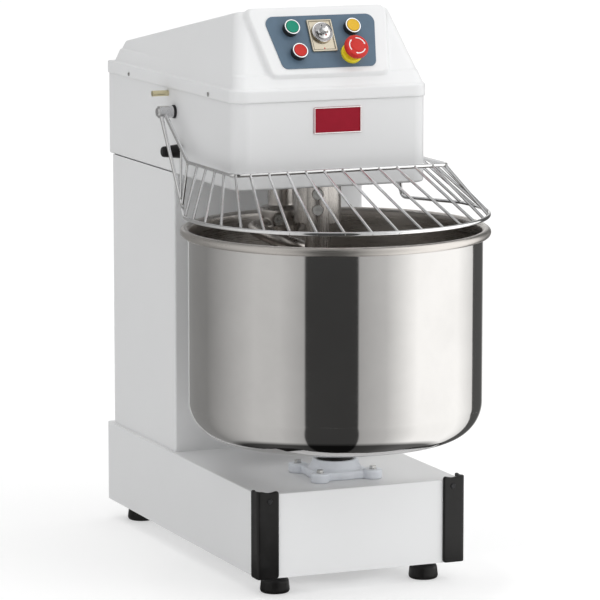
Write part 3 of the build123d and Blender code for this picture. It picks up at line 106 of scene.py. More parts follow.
def around(tree, axis, per_turn, per_metre):
    """Coordinates wrapped round an upright axis: angle, radius and height, each stretched."""
    place = tree.nodes.new("ShaderNodeTexCoord")
    centred = tree.nodes.new("ShaderNodeVectorMath")
    centred.operation = "SUBTRACT"
    centred.inputs[1].default_value = (axis.x, axis.y, 0)
    link(tree, place.outputs["Object"], centred.inputs[0])
    split = tree.nodes.new("ShaderNodeSeparateXYZ")
    link(tree, centred.outputs[0], split.inputs[0])
    angle = math_node(tree, "ARCTAN2", split.outputs["Y"], split.outputs["X"])
    square_x = math_node(tree, "MULTIPLY", split.outputs["X"], split.outputs["X"])
    square_y = math_node(tree, "MULTIPLY", split.outputs["Y"], split.outputs["Y"])
    radius = math_node(tree, "SQRT", math_node(tree, "ADD", square_x, square_y))
    joined = tree.nodes.new("ShaderNodeCombineXYZ")
    link(tree, math_node(tree, "MULTIPLY", angle, per_turn), joined.inputs["X"])
    link(tree, math_node(tree, "MULTIPLY", radius, per_metre), joined.inputs["Y"])
    link(tree, math_node(tree, "MULTIPLY", split.outputs["Z"], per_metre), joined.inputs["Z"])
    return joined.outputs[0]


def math_node(tree, operation, first, second=None):
    """A Math node on sockets or numbers; returns its output."""
    node = tree.nodes.new("ShaderNodeMath")
    node.operation = operation
    for index, value in enumerate((first, second)):
        if isinstance(value, (int, float)):
            node.inputs[index].default_value = value
        elif value is not None:
            link(tree, value, node.inputs[index])
    return node.outputs[0]


def noise(tree, vector, scale, detail=4.0, rough=0.55):
    """A noise texture; returns its factor."""
    node = tree.nodes.new("ShaderNodeTexNoise")
    node.inputs["Scale"].default_value = scale
    node.inputs["Detail"].default_value = detail
    node.inputs["Roughness"].default_value = rough
    link(tree, vector, node.inputs["Vector"])
    return node.outputs["Fac"]


def ramp(tree, factor, stops):
    """A colour ramp with (position, value or colour) stops; returns its colour."""
    node = tree.nodes.new("ShaderNodeValToRGB")
    elements = node.color_ramp.elements
    while len(elements) < len(stops):
        elements.new(0.5)
    for element, (position, value) in zip(elements, stops):
        element.position = position
        color = (value,) * 3 if isinstance(value, (int, float)) else value
        element.color = (*color, 1)
    link(tree, factor, node.inputs["Fac"])
    return node.outputs["Color"]


def bump(tree, shader, height, distance, strength):
    """Feeds a height into the shader's normal."""
    node = tree.nodes.new("ShaderNodeBump")
    node.inputs["Distance"].default_value = distance
    node.inputs["Strength"].default_value = strength
    link(tree, height, node.inputs["Height"])
    link(tree, node.outputs["Normal"], shader.inputs["Normal"])


def shades(color, spread):
    """A darker and a lighter version of a colour."""
    dark = tuple(channel * (1 - spread) for channel in color)
    light = tuple(min(1, channel * (1 + spread)) for channel in color)
    return dark, light


# ---------------------------------------------------------------- materials
def enamel(name, color, roughness=0.34):
    """Stoved gloss paint on folded sheet: orange peel, faint mottling and slightly uneven gloss."""
    material, tree, shader = new_material(name, color, roughness)
    place = coordinates(tree)
    dark, light = shades(color, 0.01)
    mottle = noise(tree, place, 5, 3)
    link(tree, ramp(tree, mottle, [(0.3, dark), (0.7, light)]), shader.inputs["Base Color"])
    smear = noise(tree, place, 14, 4, 0.5)
    link(tree, ramp(tree, smear, [(0.3, roughness - 0.02), (0.75, roughness + 0.03)]),
         shader.inputs["Roughness"])
    peel = noise(tree, place, 420, 2, 0.4)
    bump(tree, shader, peel, 0.00003, 0.4)
    shader.inputs["Specular IOR Level"].default_value = 0.35
    return material


def moulded(name, color, roughness=0.35, grain=900, depth=0.00003, specular=0.3):
    """Injection-moulded plastic: fine spark-eroded grain and a slight change of gloss."""
    material, tree, shader = new_material(name, color, roughness)
    shader.inputs["Specular IOR Level"].default_value = specular
    place = coordinates(tree)
    dark, light = shades(color, 0.05)
    tint = noise(tree, place, 60, 3)
    link(tree, ramp(tree, tint, [(0.3, dark), (0.7, light)]), shader.inputs["Base Color"])
    gloss = noise(tree, place, 140, 4)
    link(tree, ramp(tree, gloss, [(0.3, roughness - 0.05), (0.7, roughness + 0.07)]),
         shader.inputs["Roughness"])
    bump(tree, shader, noise(tree, place, grain, 2, 0.5), depth, 0.6)
    return material


def rubber(name, color=(0.008, 0.0075, 0.0075), roughness=0.38):
    """Black moulded rubber with a dry bloom and scuffs."""
    material, tree, shader = new_material(name, color, roughness)
    shader.inputs["Specular IOR Level"].default_value = 0.3
    place = coordinates(tree)
    bloom = noise(tree, place, 45, 5, 0.65)
    grey = tuple(channel + 0.006 for channel in color)
    link(tree, ramp(tree, bloom, [(0.45, color), (0.8, grey)]), shader.inputs["Base Color"])
    link(tree, ramp(tree, bloom, [(0.3, roughness - 0.1), (0.8, roughness + 0.15)]),
         shader.inputs["Roughness"])
    bump(tree, shader, noise(tree, place, 1300, 3, 0.6), 0.00008, 0.5)
    return material


def spun_steel(name, color, roughness, axis, lines=260, depth=0.00002, spread=0.35):
    """Polished stainless steel spun or turned about an upright axis: fine rings, soft stains."""
    material, tree, shader = new_material(name, color, roughness, 1.0)
    rings = noise(tree, around(tree, axis, 1.2, lines), 3.0, 6, 0.6)
    cloud = noise(tree, coordinates(tree), 7, 4, 0.6)
    dark, light = shades(color, 0.05)
    link(tree, ramp(tree, cloud, [(0.3, dark), (0.7, light)]), shader.inputs["Base Color"])
    mixed = math_node(tree, "ADD", math_node(tree, "MULTIPLY", rings, 0.6),
                      math_node(tree, "MULTIPLY", cloud, 0.4))
    link(tree, ramp(tree, mixed, [(0.3, roughness * (1 - spread)), (0.7, roughness * (1 + spread))]),
         shader.inputs["Roughness"])
    bump(tree, shader, rings, depth, 0.35)
    return material


def metal(name, color, roughness, streak=(1, 1, 1), scale=60, depth=0.00001, spread=0.25):
    """Ground or plated metal with directional marks."""
    material, tree, shader = new_material(name, color, roughness, 1.0)
    place = coordinates(tree, streak)
    marks = noise(tree, place, scale, 6, 0.65)
    dark, light = shades(color, 0.07)
    link(tree, ramp(tree, marks, [(0.3, dark), (0.7, light)]), shader.inputs["Base Color"])
    link(tree, ramp(tree, marks, [(0.25, roughness * (1 - spread)), (0.75, roughness * (1 + spread))]),
         shader.inputs["Roughness"])
    bump(tree, shader, marks, depth, 0.4)
    return material


def cast(name, color, roughness=0.55):
    """Painted or bare cast iron: pitted skin."""
    material, tree, shader = new_material(name, color, roughness, 0.2)
    place = coordinates(tree)
    skin = noise(tree, place, 260, 5, 0.65)
    dark, light = shades(color, 0.15)
    link(tree, ramp(tree, skin, [(0.3, dark), (0.7, light)]), shader.inputs["Base Color"])
    link(tree, ramp(tree, skin, [(0.3, roughness - 0.1), (0.7, roughness + 0.1)]),
         shader.inputs["Roughness"])
    bump(tree, shader, skin, 0.0003, 0.5)
    return material


white_paint = enamel("white_paint", (0.78, 0.785, 0.79))
cover_white = enamel("cover_white", (0.8, 0.805, 0.81), 0.3)
bowl_steel = spun_steel("bowl_steel", (0.615, 0.602, 0.597), 0.07, BOWL_AXIS, depth=0.000004)
bowl_satin = spun_steel("bowl_satin", (0.6, 0.57, 0.545), 0.3, BOWL_AXIS, depth=0.00001)
hook_steel = metal("hook_steel", (0.57, 0.54, 0.515), 0.3, (1, 1, 0.5), 90)
bright_bolt = metal("bright_bolt", (0.9, 0.9, 0.89), 0.5, scale=200)
bar_steel = metal("bar_steel", (0.58, 0.55, 0.525), 0.27, (6, 6, 0.4), 90)
machined = metal("machined_steel", (0.5, 0.5, 0.5), 0.3, (1, 1, 8), 140)
zinc = metal("zinc_steel", (0.56, 0.56, 0.55), 0.28, scale=200)
chrome = metal("chrome", (0.82, 0.82, 0.83), 0.07, scale=160, spread=0.4)
cast_grey = cast("cast_grey", (0.13, 0.14, 0.15))
cast_aluminium = cast("cast_aluminium", (0.4, 0.41, 0.42))
black_rubber = rubber("black_rubber")
black_plastic = moulded("black_plastic", (0.02, 0.02, 0.022), 0.38)
panel_film = moulded("panel_film", (0.10, 0.155, 0.215), 0.42, 1500, 0.00002)
badge_red = moulded("badge_red", (0.31, 0.006, 0.022), 0.42, 300, 0.00001, 0.12)
green_plastic = moulded("green_plastic", (0.002, 0.25, 0.155), 0.42)
red_plastic = moulded("red_plastic", (0.56, 0.02, 0.014), 0.38)
yellow_plastic = moulded("yellow_plastic", (0.74, 0.45, 0.02), 0.38)
collar_yellow = moulded("collar_yellow", (0.88, 0.72, 0.02), 0.38)
dial_grey = metal("dial_grey", (0.42, 0.41, 0.42), 0.32, (8, 1, 1), 200)
timer_metal = metal("timer_metal", (0.62, 0.56, 0.45), 0.3, (1, 12, 12), 60)
yellow_zinc = metal("yellow_zinc", (0.78, 0.7, 0.46), 0.32, scale=120)
silver_paint = enamel("silver_paint", (0.78, 0.81, 0.86), 0.3)
pivot_zinc = metal("pivot_zinc", (0.66, 0.66, 0.67), 0.3, (6, 1, 1), 300)
printed_white = moulded("printed_white", (0.85, 0.85, 0.85), 0.4)
printed_black = moulded("printed_black", (0.02, 0.02, 0.02), 0.4)

FINISH = {
    "white_paint": white_paint,
    "cover_white": cover_white,
    "stainless": bar_steel,
    "machined_steel": machined,
    "zinc_steel": zinc,
    "chrome": chrome,
    "cast_grey": cast_grey,
    "cast_aluminium": cast_aluminium,
    "black_rubber": black_rubber,
    "black_plastic": black_plastic,
    "panel_film": panel_film,
    "badge_red": badge_red,
    "green_plastic": green_plastic,
    "red_plastic": red_plastic,
    "yellow_plastic": yellow_plastic,
    "timer_metal": timer_metal,
    "yellow_zinc": yellow_zinc,
    "silver_paint": silver_paint,
}


def dress(node, material):
    """Gives a CAD node its material."""
    mesh = nodes[node].data
    mesh.materials.clear()
    mesh.materials.append(material)


for entry in frame["record"]["subparts"]:
    dress(entry["node"], FINISH[entry["material_slot"]])
dress("bowl", bowl_steel)
dress("emergency_stop_collar", collar_yellow)
dress("guard_pivot_bolts", pivot_zinc)
dress("dough_spiral", hook_steel)
dress("breaker_bar_bolts", bright_bolt)

# ---------------------------------------------------------------- mesh helpers


def rounded_path(points, radius, steps=8):
    """The points of a polyline with each inner corner turned into an arc."""
    path = [points[0]]
    for before, corner, after in zip(points, points[1:], points[2:]):
        back = before - corner
        ahead = after - corner
        half = back.angle(ahead) / 2
        reach = min(radius / tan(half), back.length * 0.45, ahead.length * 0.45)
        start = corner + back.normalized() * reach
        end = corner + ahead.normalized() * reach
        for step in range(steps + 1):
            share = step / steps
            path.append(start.lerp(corner, share).lerp(corner.lerp(end, share), share))
    return path + [points[-1]]


def finished(name, mesh, material, body, slot, sharp=35):
    """Makes a shown piece of a mesh: smooth shading, a material and a body; the slot is not used."""
    mesh.shade_smooth()
    mesh.set_sharp_from_angle(angle=radians(sharp))
    mesh.materials.append(material)
    piece = bpy.data.objects.new(name, mesh)
    bpy.context.scene.collection.objects.link(piece)
    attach(piece, body)
    return piece


def mesh_of(name, verts, faces):
    """A mesh of vertices and faces, its faces turned outwards."""
    mesh = bpy.data.meshes.new(name)
    mesh.from_pydata(verts, [], faces)
    work = bmesh.new()
    work.from_mesh(mesh)
    bmesh.ops.recalc_face_normals(work, faces=work.faces)
    work.to_mesh(mesh)
    work.free()
    return mesh


def sweep(verts, faces, path, radius, sides=20):
    """Adds a round tube along a path of points to lists of vertices and faces."""
    first = len(verts)
    forward = (path[1] - path[0]).normalized()
    across = forward.orthogonal().normalized()
    for index, point in enumerate(path):
        before = path[max(index - 1, 0)]
        after = path[min(index + 1, len(path) - 1)]
        turned = (after - before).normalized()
        across = (across - turned * across.dot(turned)).normalized()
        up = turned.cross(across)
        for side in range(sides):
            angle = 2 * pi * side / sides
            verts.append(point + (across * cos(angle) + up * sin(angle)) * radius)
    for row in range(len(path) - 1):
        low = first + row * sides
        for side in range(sides):
            beside = (side + 1) % sides
            faces.append((low + side, low + beside, low + sides + beside, low + sides + side))
    faces.append(tuple(range(first, first + sides)))
    faces.append(tuple(range(len(verts) - sides, len(verts))))


def lathe(verts, faces, profile, matrix, sides=96, flutes=None):
    """Adds a solid of revolution from (radius, height) points, closed on its axis."""
    first = len(verts)
    for radius, height in profile:
        for side in range(sides):
            angle = 2 * pi * side / sides
            reach = radius
            if flutes and flutes["low"] < height < flutes["high"]:
                reach -= flutes["depth"] * max(0, cos(flutes["count"] * angle)) ** 2
            verts.append(matrix @ Vector((reach * cos(angle), reach * sin(angle), height)))
    for row in range(len(profile) - 1):
        low = first + row * sides
        for side in range(sides):
            beside = (side + 1) % sides
            faces.append((low + side, low + beside, low + sides + beside, low + sides + side))
    faces.append(tuple(range(first, first + sides)))
    faces.append(tuple(range(len(verts) - sides, len(verts))))


def rounded_profile(points, radius, steps=5):
    """A lathe profile in metres from millimetre points, its corners rounded."""
    flat = [Vector((x * MM, y * MM, 0)) for x, y in points]
    return [(point.x, point.y) for point in rounded_path(flat, radius * MM, steps)]


def pad_matrix(at):
    """The transform that stands a piece on the sloping panel."""
    origin = PAD_ORIGIN + (PAD_RIGHT * at[0] + PAD_UP * at[1]) * MM
    matrix = Matrix((PAD_RIGHT, PAD_UP, PAD_NORMAL)).transposed().to_4x4()
    matrix.translation = origin
    return matrix


def prism(verts, faces, outline, low, high, matrix):
    """Adds a flat-ended prism on an outline of millimetre points."""
    first = len(verts)
    count = len(outline)
    for height in (low, high):
        verts.extend(matrix @ Vector((x * MM, y * MM, height * MM)) for x, y in outline)
    faces.append(tuple(range(first, first + count)))
    faces.append(tuple(range(first + count, first + 2 * count)))
    for index in range(count):
        beside = (index + 1) % count
        faces.append((first + index, first + beside, first + count + beside, first + count + index))


def frame_strip(verts, faces, width, height, band, low, high, matrix):
    """Adds a flat rectangular frame of a given band width."""
    outer = [(-width / 2, -height / 2), (width / 2, -height / 2),
             (width / 2, height / 2), (-width / 2, height / 2)]
    inner = [(x - band * (1 if x > 0 else -1), y - band * (1 if y > 0 else -1)) for x, y in outer]
    for index in range(4):
        beside = (index + 1) % 4
        prism(verts, faces, [outer[index], outer[beside], inner[beside], inner[index]],
              low, high, matrix)


def arc_points(middle, radius, start, end, steps):
    """Points of an arc in a profile plane, angles in degrees."""
    spots = []
    for step in range(steps + 1):
        angle = radians(start + (end - start) * step / steps)
        spots.append((middle[0] + radius * cos(angle), middle[1] + radius * sin(angle)))
    return spots


def spot(x, behind, z):
    """A point from millimetres, its second number measured back from the bowl's axis."""
    return Vector((x * MM, BOWL_AXIS.y + behind * MM, z * MM))


def soften(node, voxel, rounds):
    """Rounds the edges of a thick CAD node: an even mesh, then smoothing."""
    remesh = nodes[node].modifiers.new("even", "REMESH")
    remesh.mode = "VOXEL"
    remesh.voxel_size = voxel * MM
    remesh.use_smooth_shade = True
    smooth = nodes[node].modifiers.new("soft", "SMOOTH")
    smooth.factor = 0.5
    smooth.iterations = rounds


# ---------------------------------------------------------------- softened castings and mouldings
soften("top_cover", 1.6, 5)
soften("rubber_feet", 1.0, 5)
soften("bowl_bearing_housing", 1.1, 5)
soften("dough_spiral", 1.4, 5)
soften("guard_rest_bumper", 0.6, 6)

# ---------------------------------------------------------------- corner guards
BASE_HALF = 175
BASE_FRONT = -104
BUMPER_LOW = 32.5
BUMPER_HIGH = 174
BUMPER_THICK = 5
BUMPER_ROUND = 2.3
BUMPER_END_ROUND = 5
BUMPER_DIP = 2.6
FRONT_LEG = 32
SIDE_LEG = 24
END_STEPS = (0, 0.15, 0.5, 1.1, 2.0, 3.2, 5.0)
EDGE_STEPS = 6
FAN_STEPS = 12
INNER_GAP = 0.3
END_NARROWING = 0.8
FRONT_SHARES = (0.3, 0.42, 0.54, 0.66, 0.78, 0.9)
SIDE_SHARES = (0.85, 0.7, 0.55, 0.4)
SIDE_DIP_SHARE = 0.5


def rounded_drop(distance, radius):
    """How far a quarter round has fallen at a distance from its end."""
    short = radius - min(distance, radius)
    return radius - (radius * radius - short * short) ** 0.5


def bumper_section(distance, dip):
    """The closed outline of a guard's section: (offset, height) points, rounded outside."""
    thick = BUMPER_THICK - rounded_drop(distance, BUMPER_ROUND) * END_NARROWING
    drop = rounded_drop(distance, BUMPER_END_ROUND)
    high = BUMPER_HIGH - drop - dip
    low = BUMPER_LOW + drop
    edge = min(BUMPER_ROUND, thick - INNER_GAP)
    outline = [(INNER_GAP, low)]
    outline += arc_points((thick - edge, low + edge), edge, -90, 0, EDGE_STEPS)
    outline += arc_points((thick - edge, high - edge), edge, 0, 90, EDGE_STEPS)
    return outline + [(INNER_GAP, high)]


def bumper_skin(name, side, node):
    """A soft-edged guard round one front corner of the base, its top dished between its horns."""
    stations = []
    along_front = list(END_STEPS) + [FRONT_LEG * share for share in FRONT_SHARES]
    for distance in along_front:
        dip = BUMPER_DIP * sin(pi * distance / FRONT_LEG) ** 2
        stations.append((BASE_HALF - FRONT_LEG + distance, 0, 0, -1, distance, dip))
    for step in range(FAN_STEPS + 1):
        angle = radians(-90 + 90 * step / FAN_STEPS)
        stations.append((BASE_HALF, 0, cos(angle), sin(angle), FRONT_LEG, 0))
    along_side = [SIDE_LEG * share for share in SIDE_SHARES] + list(reversed(END_STEPS))
    for distance in along_side:
        dip = BUMPER_DIP * SIDE_DIP_SHARE * sin(pi * distance / SIDE_LEG) ** 2
        stations.append((BASE_HALF, SIDE_LEG - distance, 1, 0, distance, dip))
    verts, faces = [], []
    for x, back, out_x, out_y, distance, dip in stations:
        outline = bumper_section(distance, dip)
        for offset, height in outline:
            verts.append(spot(side * (x + out_x * offset), BASE_FRONT + back + out_y * offset, height))
    count = len(outline)
    for row in range(len(stations) - 1):
        low = row * count
        for index in range(count):
            beside = (index + 1) % count
            faces.append((low + index, low + beside, low + count + beside, low + count + index))
    faces.append(tuple(range(count)))
    faces.append(tuple(range(len(verts) - count, len(verts))))
    skin = finished(name, mesh_of(name, verts, faces), black_rubber, "machine", "black_rubber", sharp=40)
    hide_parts(node)


bumper_skin("bumper_left", -1, "corner_guard_left")
bumper_skin("bumper_right", 1, "corner_guard_right")

# ---------------------------------------------------------------- bowl
BOWL_RADIUS = 236
BOWL_WALL = 2
BOWL_LOW = 233
BOWL_CORNER = 60
RIM_RADIUS = 241.5
BEAD_RADIUS = 7.1
RIM_MID = 565.6
BOWL_SIDES = 320
CORNER_STEPS = 28
BEAD_SWEEP = (-138, 176)
BEAD_STEPS = 40
AXIS_GAP = 0.01  # turned profiles start this far from their axis, so that no face is a point
FLOOR_RINGS = (60, 120)
WALL_RINGS = (330, 380, 430, 480, 520, 545, 556)
INNER_RINGS = (562, 550, 520, 480, 430, 380, 330)

outer_corner = (BOWL_RADIUS - BOWL_CORNER, BOWL_LOW + BOWL_CORNER)
inner_radius = BOWL_RADIUS - BOWL_WALL
bowl_profile = [(radius, BOWL_LOW) for radius in (AXIS_GAP, *FLOOR_RINGS)]
bowl_profile += arc_points(outer_corner, BOWL_CORNER, -90, 0, CORNER_STEPS)
bowl_profile += [(BOWL_RADIUS, height) for height in WALL_RINGS]
satin_row = len(bowl_profile)
bowl_profile += arc_points((RIM_RADIUS, RIM_MID), BEAD_RADIUS, *BEAD_SWEEP, BEAD_STEPS)
bowl_profile += [(inner_radius, height) for height in INNER_RINGS]
bowl_profile += arc_points(outer_corner, BOWL_CORNER - BOWL_WALL, 0, -90, CORNER_STEPS)
bowl_profile += [(radius, BOWL_LOW + BOWL_WALL) for radius in (*reversed(FLOOR_RINGS), AXIS_GAP)]
bowl_verts, bowl_faces = [], []
lathe(bowl_verts, bowl_faces, [(r * MM, z * MM) for r, z in bowl_profile],
      Matrix.Translation(BOWL_AXIS), BOWL_SIDES)
bowl_shell = finished("bowl_shell", mesh_of("bowl_shell", bowl_verts, bowl_faces),
                      bowl_steel, "bowl", "stainless", 60)
bowl_shell.data.materials.append(bowl_satin)
for polygon in bowl_shell.data.polygons:
    polygon.material_index = int(satin_row <= polygon.index // BOWL_SIDES < len(bowl_profile) - 1)
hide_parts("bowl")

# ---------------------------------------------------------------- guard
GUARD_WIRE = 3.2
BAR_WIRE = 2.3
WIRE_BEND = 16
FRAME_HALF = 186.5
FRAME_FRONT = -25.8
FRAME_BEND = 169
FRAME_Z = 665.9
PIVOT_BEHIND = 275.7
PIVOT_Z = 736.9
RING_RADIUS = 245
RING_Z = 594
RING_END_ANGLE = 10.4
ARM_BEND = (195, 170, 590)
ARM_ROOT_HALF = 193
BAR_STEP_ANGLE = 10
FRONT_BAR_STEP = 31.5
SIDE_BAR_STEP = 38
LAST_FRONT_BAR = 5
CORNER_BAR = 6
LAST_BAR = 10
CORNER_BAR_INSET = (5, 2)
BEND_STEPS = 10
RING_STEPS = 120
BAR_SIDES = 16
WELD_SIDES = 14
WELD_SWELL = (0.95, 1.1)
WELD_PROFILE = [(-3.2, 0.9), (-2.4, 2.1), (0, 3.1), (2.8, 2.8), (5.0, 2.1)]  # (place, radius) along a bar


def ring_spot(angle):
    """A point of the lower ring, its angle in degrees from the front."""
    turned = radians(angle - 90)
    return spot(RING_RADIUS * cos(turned), RING_RADIUS * sin(turned), RING_Z)


frame_verts, frame_faces = [], []
sweep(
    frame_verts, frame_faces,
    rounded_path(
        [spot(-FRAME_HALF, PIVOT_BEHIND, PIVOT_Z), spot(-FRAME_HALF, FRAME_BEND, FRAME_Z),
         spot(-FRAME_HALF, FRAME_FRONT, FRAME_Z), spot(FRAME_HALF, FRAME_FRONT, FRAME_Z),
         spot(FRAME_HALF, FRAME_BEND, FRAME_Z), spot(FRAME_HALF, PIVOT_BEHIND, PIVOT_Z)],
        WIRE_BEND * MM, BEND_STEPS,
    ),
    GUARD_WIRE * MM,
)
upper_wire = finished("guard_upper_wire", mesh_of("guard_upper_wire", frame_verts, frame_faces),
                      chrome, "guard", "chrome")
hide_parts("guard_frame")

ring_verts, ring_faces = [], []
ring_end = 90 + RING_END_ANGLE
ring_path = [ring_spot(-ring_end + 2 * ring_end * step / RING_STEPS) for step in range(RING_STEPS + 1)]
left_arm = [spot(-ARM_ROOT_HALF, PIVOT_BEHIND, PIVOT_Z), spot(-ARM_BEND[0], *ARM_BEND[1:]), ring_path[0]]
right_arm = [ring_path[-1], spot(ARM_BEND[0], *ARM_BEND[1:]), spot(ARM_ROOT_HALF, PIVOT_BEHIND, PIVOT_Z)]
sweep(
    ring_verts, ring_faces,
    rounded_path(left_arm, WIRE_BEND * MM, BEND_STEPS) + ring_path[1:-1]
    + rounded_path(right_arm, WIRE_BEND * MM, BEND_STEPS),
    GUARD_WIRE * MM,
)
lower_wire = finished("guard_lower_wire", mesh_of("guard_lower_wire", ring_verts, ring_faces),
                      chrome, "guard", "chrome")
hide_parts("guard_ring")


def bar_spot(step):
    """Where the bar of this number meets the upper wire."""
    side = 1 if step > 0 else -1
    if abs(step) <= LAST_FRONT_BAR:
        return spot(step * FRONT_BAR_STEP, FRAME_FRONT, FRAME_Z)
    if abs(step) == CORNER_BAR:
        across, back = CORNER_BAR_INSET
        return spot(side * (FRAME_HALF - across), FRAME_FRONT + back, FRAME_Z)
    return spot(side * FRAME_HALF, FRAME_FRONT + SIDE_BAR_STEP * (abs(step) - CORNER_BAR), FRAME_Z)


bar_ends = [
    (bar_spot(step), ring_spot(step * BAR_STEP_ANGLE)) for step in range(-LAST_BAR, LAST_BAR + 1)
]
for side in (-1, 1):
    root = spot(side * ARM_ROOT_HALF, PIVOT_BEHIND, PIVOT_Z)
    bend = spot(side * ARM_BEND[0], *ARM_BEND[1:])
    frame_root = spot(side * FRAME_HALF, PIVOT_BEHIND, PIVOT_Z)
    frame_bend = spot(side * FRAME_HALF, FRAME_BEND, FRAME_Z)
    bar_ends.append((frame_bend, bend.lerp(root, 0.03)))
    bar_ends.append((frame_bend.lerp(frame_root, 0.27), bend.lerp(root, 0.09)))
bar_verts, bar_faces = [], []
weld_verts, weld_faces = [], []
for start, end in bar_ends:
    sweep(bar_verts, bar_faces, [start, start.lerp(end, 0.5), end], BAR_WIRE * MM, BAR_SIDES)
    along = (end - start).normalized()
    for place, inward in ((start, along), (end, -along)):
        swell = random.uniform(*WELD_SWELL)
        bead = [place + inward * offset * MM for offset, _ in WELD_PROFILE]
        first = len(weld_verts)
        sweep(weld_verts, weld_faces, bead, MM, WELD_SIDES)
        for row, (_, size) in enumerate(WELD_PROFILE):
            for side in range(WELD_SIDES):
                index = first + row * WELD_SIDES + side
                weld_verts[index] = bead[row] + (weld_verts[index] - bead[row]) * size * swell
bars = finished("guard_rods", mesh_of("guard_rods", bar_verts, bar_faces), chrome, "guard", "chrome")
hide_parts("guard_bars")
finished("guard_welds", mesh_of("guard_welds", weld_verts, weld_faces), zinc, "guard", "zinc_steel", 60)

# ---------------------------------------------------------------- buttons, switch and timer
SLOW_AT = (-55, 78)
STOP_AT = (-50, 36)
FAST_AT = (50.5, 77)
EMERGENCY_AT = (41, 32)
PLATE_AT = (-3.5, 65)
BUTTON_ROUND = 0.7
RING_ROUND = 0.5
MUSHROOM_ROUND = 1.6
GRIP_ROUND = 0.5
RIM_ROUND = 0.3
BUTTON_PROFILE = [(AXIS_GAP, -18), (7.5, -18), (7.5, 7.3), (10.4, 7.3), (10.4, 14), (8.2, 14),
                  (7.4, 13.75), (AXIS_GAP, 13.75)]
RING_PROFILE = [(10.9, 11.8), (12.95, 11.8), (12.95, 13.2), (10.9, 13.2), (10.9, 11.8)]
MUSHROOM_PROFILE = [(AXIS_GAP, -12), (7.5, -12), (7.5, 18), (13, 18), (18.5, 20.5), (20, 24), (20, 28),
                    (17.5, 31.1), (10.2, 31.1), (9.4, 31.9), (AXIS_GAP, 31.9)]
GRIP_PROFILE = [(AXIS_GAP, -0.5), (4, -0.5), (4, 8.3), (12.5, 8.3), (12.2, 9.6), (9, 10.6), (6.8, 12.2),
                (6.2, 19), (5.2, 20.8), (AXIS_GAP, 21.3)]
GRIP_FLUTES = {"low": 12.4 * MM, "high": 19.5 * MM, "count": 18, "depth": 0.7 * MM}
GRIP_SIDES = 180
DIAL_RIM = [(15.6, 7.6), (17.6, 7.6), (17.6, 8.6), (16.9, 9.1), (15.6, 8.4), (15.6, 7.6)]
DIAL_FACE = [(9.5, 7.9), (15.7, 7.9), (15.7, 8.08), (9.5, 8.08)]
TURNED_SIDES = 96


def turned_piece(name, outline, at, look, sharp=35, sides=TURNED_SIDES, flutes=None):
    """A piece turned about the panel's normal; its look is a material, a body and a slot."""
    verts, faces = [], []
    lathe(verts, faces, outline, pad_matrix(at), sides, flutes)
    return finished(name, mesh_of(name, verts, faces), *look, sharp)


def turned_ring(name, outline, at, look):
    """A ring turned about the panel's normal, open in the middle."""
    verts, faces = [], []
    lathe(verts, faces, outline, pad_matrix(at))
    return finished(name, mesh_of(name, verts, faces[:-2]), *look)


for name, at, cap_slot in (
    ("slow", SLOW_AT, "green_plastic"),
    ("stop", STOP_AT, "red_plastic"),
    ("fast", FAST_AT, "yellow_plastic"),
):
    cap = turned_piece(f"{name}_cap", rounded_profile(BUTTON_PROFILE, BUTTON_ROUND), at,
                       (FINISH[cap_slot], f"{name}_button", cap_slot))
    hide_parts(f"{name}_button")
    turned_ring(f"{name}_ring", rounded_profile(RING_PROFILE, RING_ROUND)[:-1], at,
                (chrome, "machine", "chrome"))

mushroom = turned_piece("emergency_head", rounded_profile(MUSHROOM_PROFILE, MUSHROOM_ROUND), EMERGENCY_AT,
                        (red_plastic, "emergency_stop", "red_plastic"), sharp=50)
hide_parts("emergency_stop")

ARROW_LOW = 30.9
ARROW_HIGH = 31.3
ARROW_START = 20
ARROW_SWEEP = 72
ARROW_TIP = 14
ARC_INNER = 12.6
ARC_OUTER = 14.2
ARC_STEPS = 12
HEAD_INNER = 11.6
HEAD_MIDDLE = 13.4
HEAD_OUTER = 15.2


def round_spot(radius, angle):
    """A point on the panel's axes, from a radius in millimetres and an angle in radians."""
    return (radius * cos(angle), radius * sin(angle))


verts, faces = [], []
for third in range(3):
    begin = radians(ARROW_START + 120 * third)
    for step in range(ARC_STEPS):
        near = begin + radians(ARROW_SWEEP) * step / ARC_STEPS
        far = begin + radians(ARROW_SWEEP) * (step + 1) / ARC_STEPS
        prism(verts, faces,
              [round_spot(ARC_INNER, near), round_spot(ARC_OUTER, near),
               round_spot(ARC_OUTER, far), round_spot(ARC_INNER, far)],
              ARROW_LOW, ARROW_HIGH, pad_matrix(EMERGENCY_AT))
    tip = begin - radians(ARROW_TIP)
    prism(verts, faces,
          [round_spot(HEAD_INNER, begin), round_spot(HEAD_MIDDLE, tip), round_spot(HEAD_OUTER, begin)],
          ARROW_LOW, ARROW_HIGH, pad_matrix(EMERGENCY_AT))
finished("emergency_arrows", mesh_of("emergency_arrows", verts, faces), printed_white,
         "emergency_stop", "cover_white")

knob = turned_piece("timer_grip", rounded_profile(GRIP_PROFILE, GRIP_ROUND), DIAL_AT,
                    (chrome, "timer_knob", "chrome"), sharp=30, sides=GRIP_SIDES, flutes=GRIP_FLUTES)
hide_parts("timer_knob")
turned_ring("timer_rim", rounded_profile(DIAL_RIM, RIM_ROUND)[:-1], DIAL_AT,
            (chrome, "machine", "chrome"))
turned_ring("timer_face", [(radius * MM, height * MM) for radius, height in DIAL_FACE], DIAL_AT,
            (dial_grey, "machine", "timer_metal"))

POINTER_HEIGHTS = (9.2, 10.9)
POINTER = [(-0.5, 8.6), (0.5, 8.6), (0.35, 12), (-0.35, 12)]
verts, faces = [], []
prism(verts, faces, POINTER, *POINTER_HEIGHTS, pad_matrix(DIAL_AT))
finished("timer_pointer", mesh_of("timer_pointer", verts, faces), printed_black,
         "timer_knob", "black_plastic")

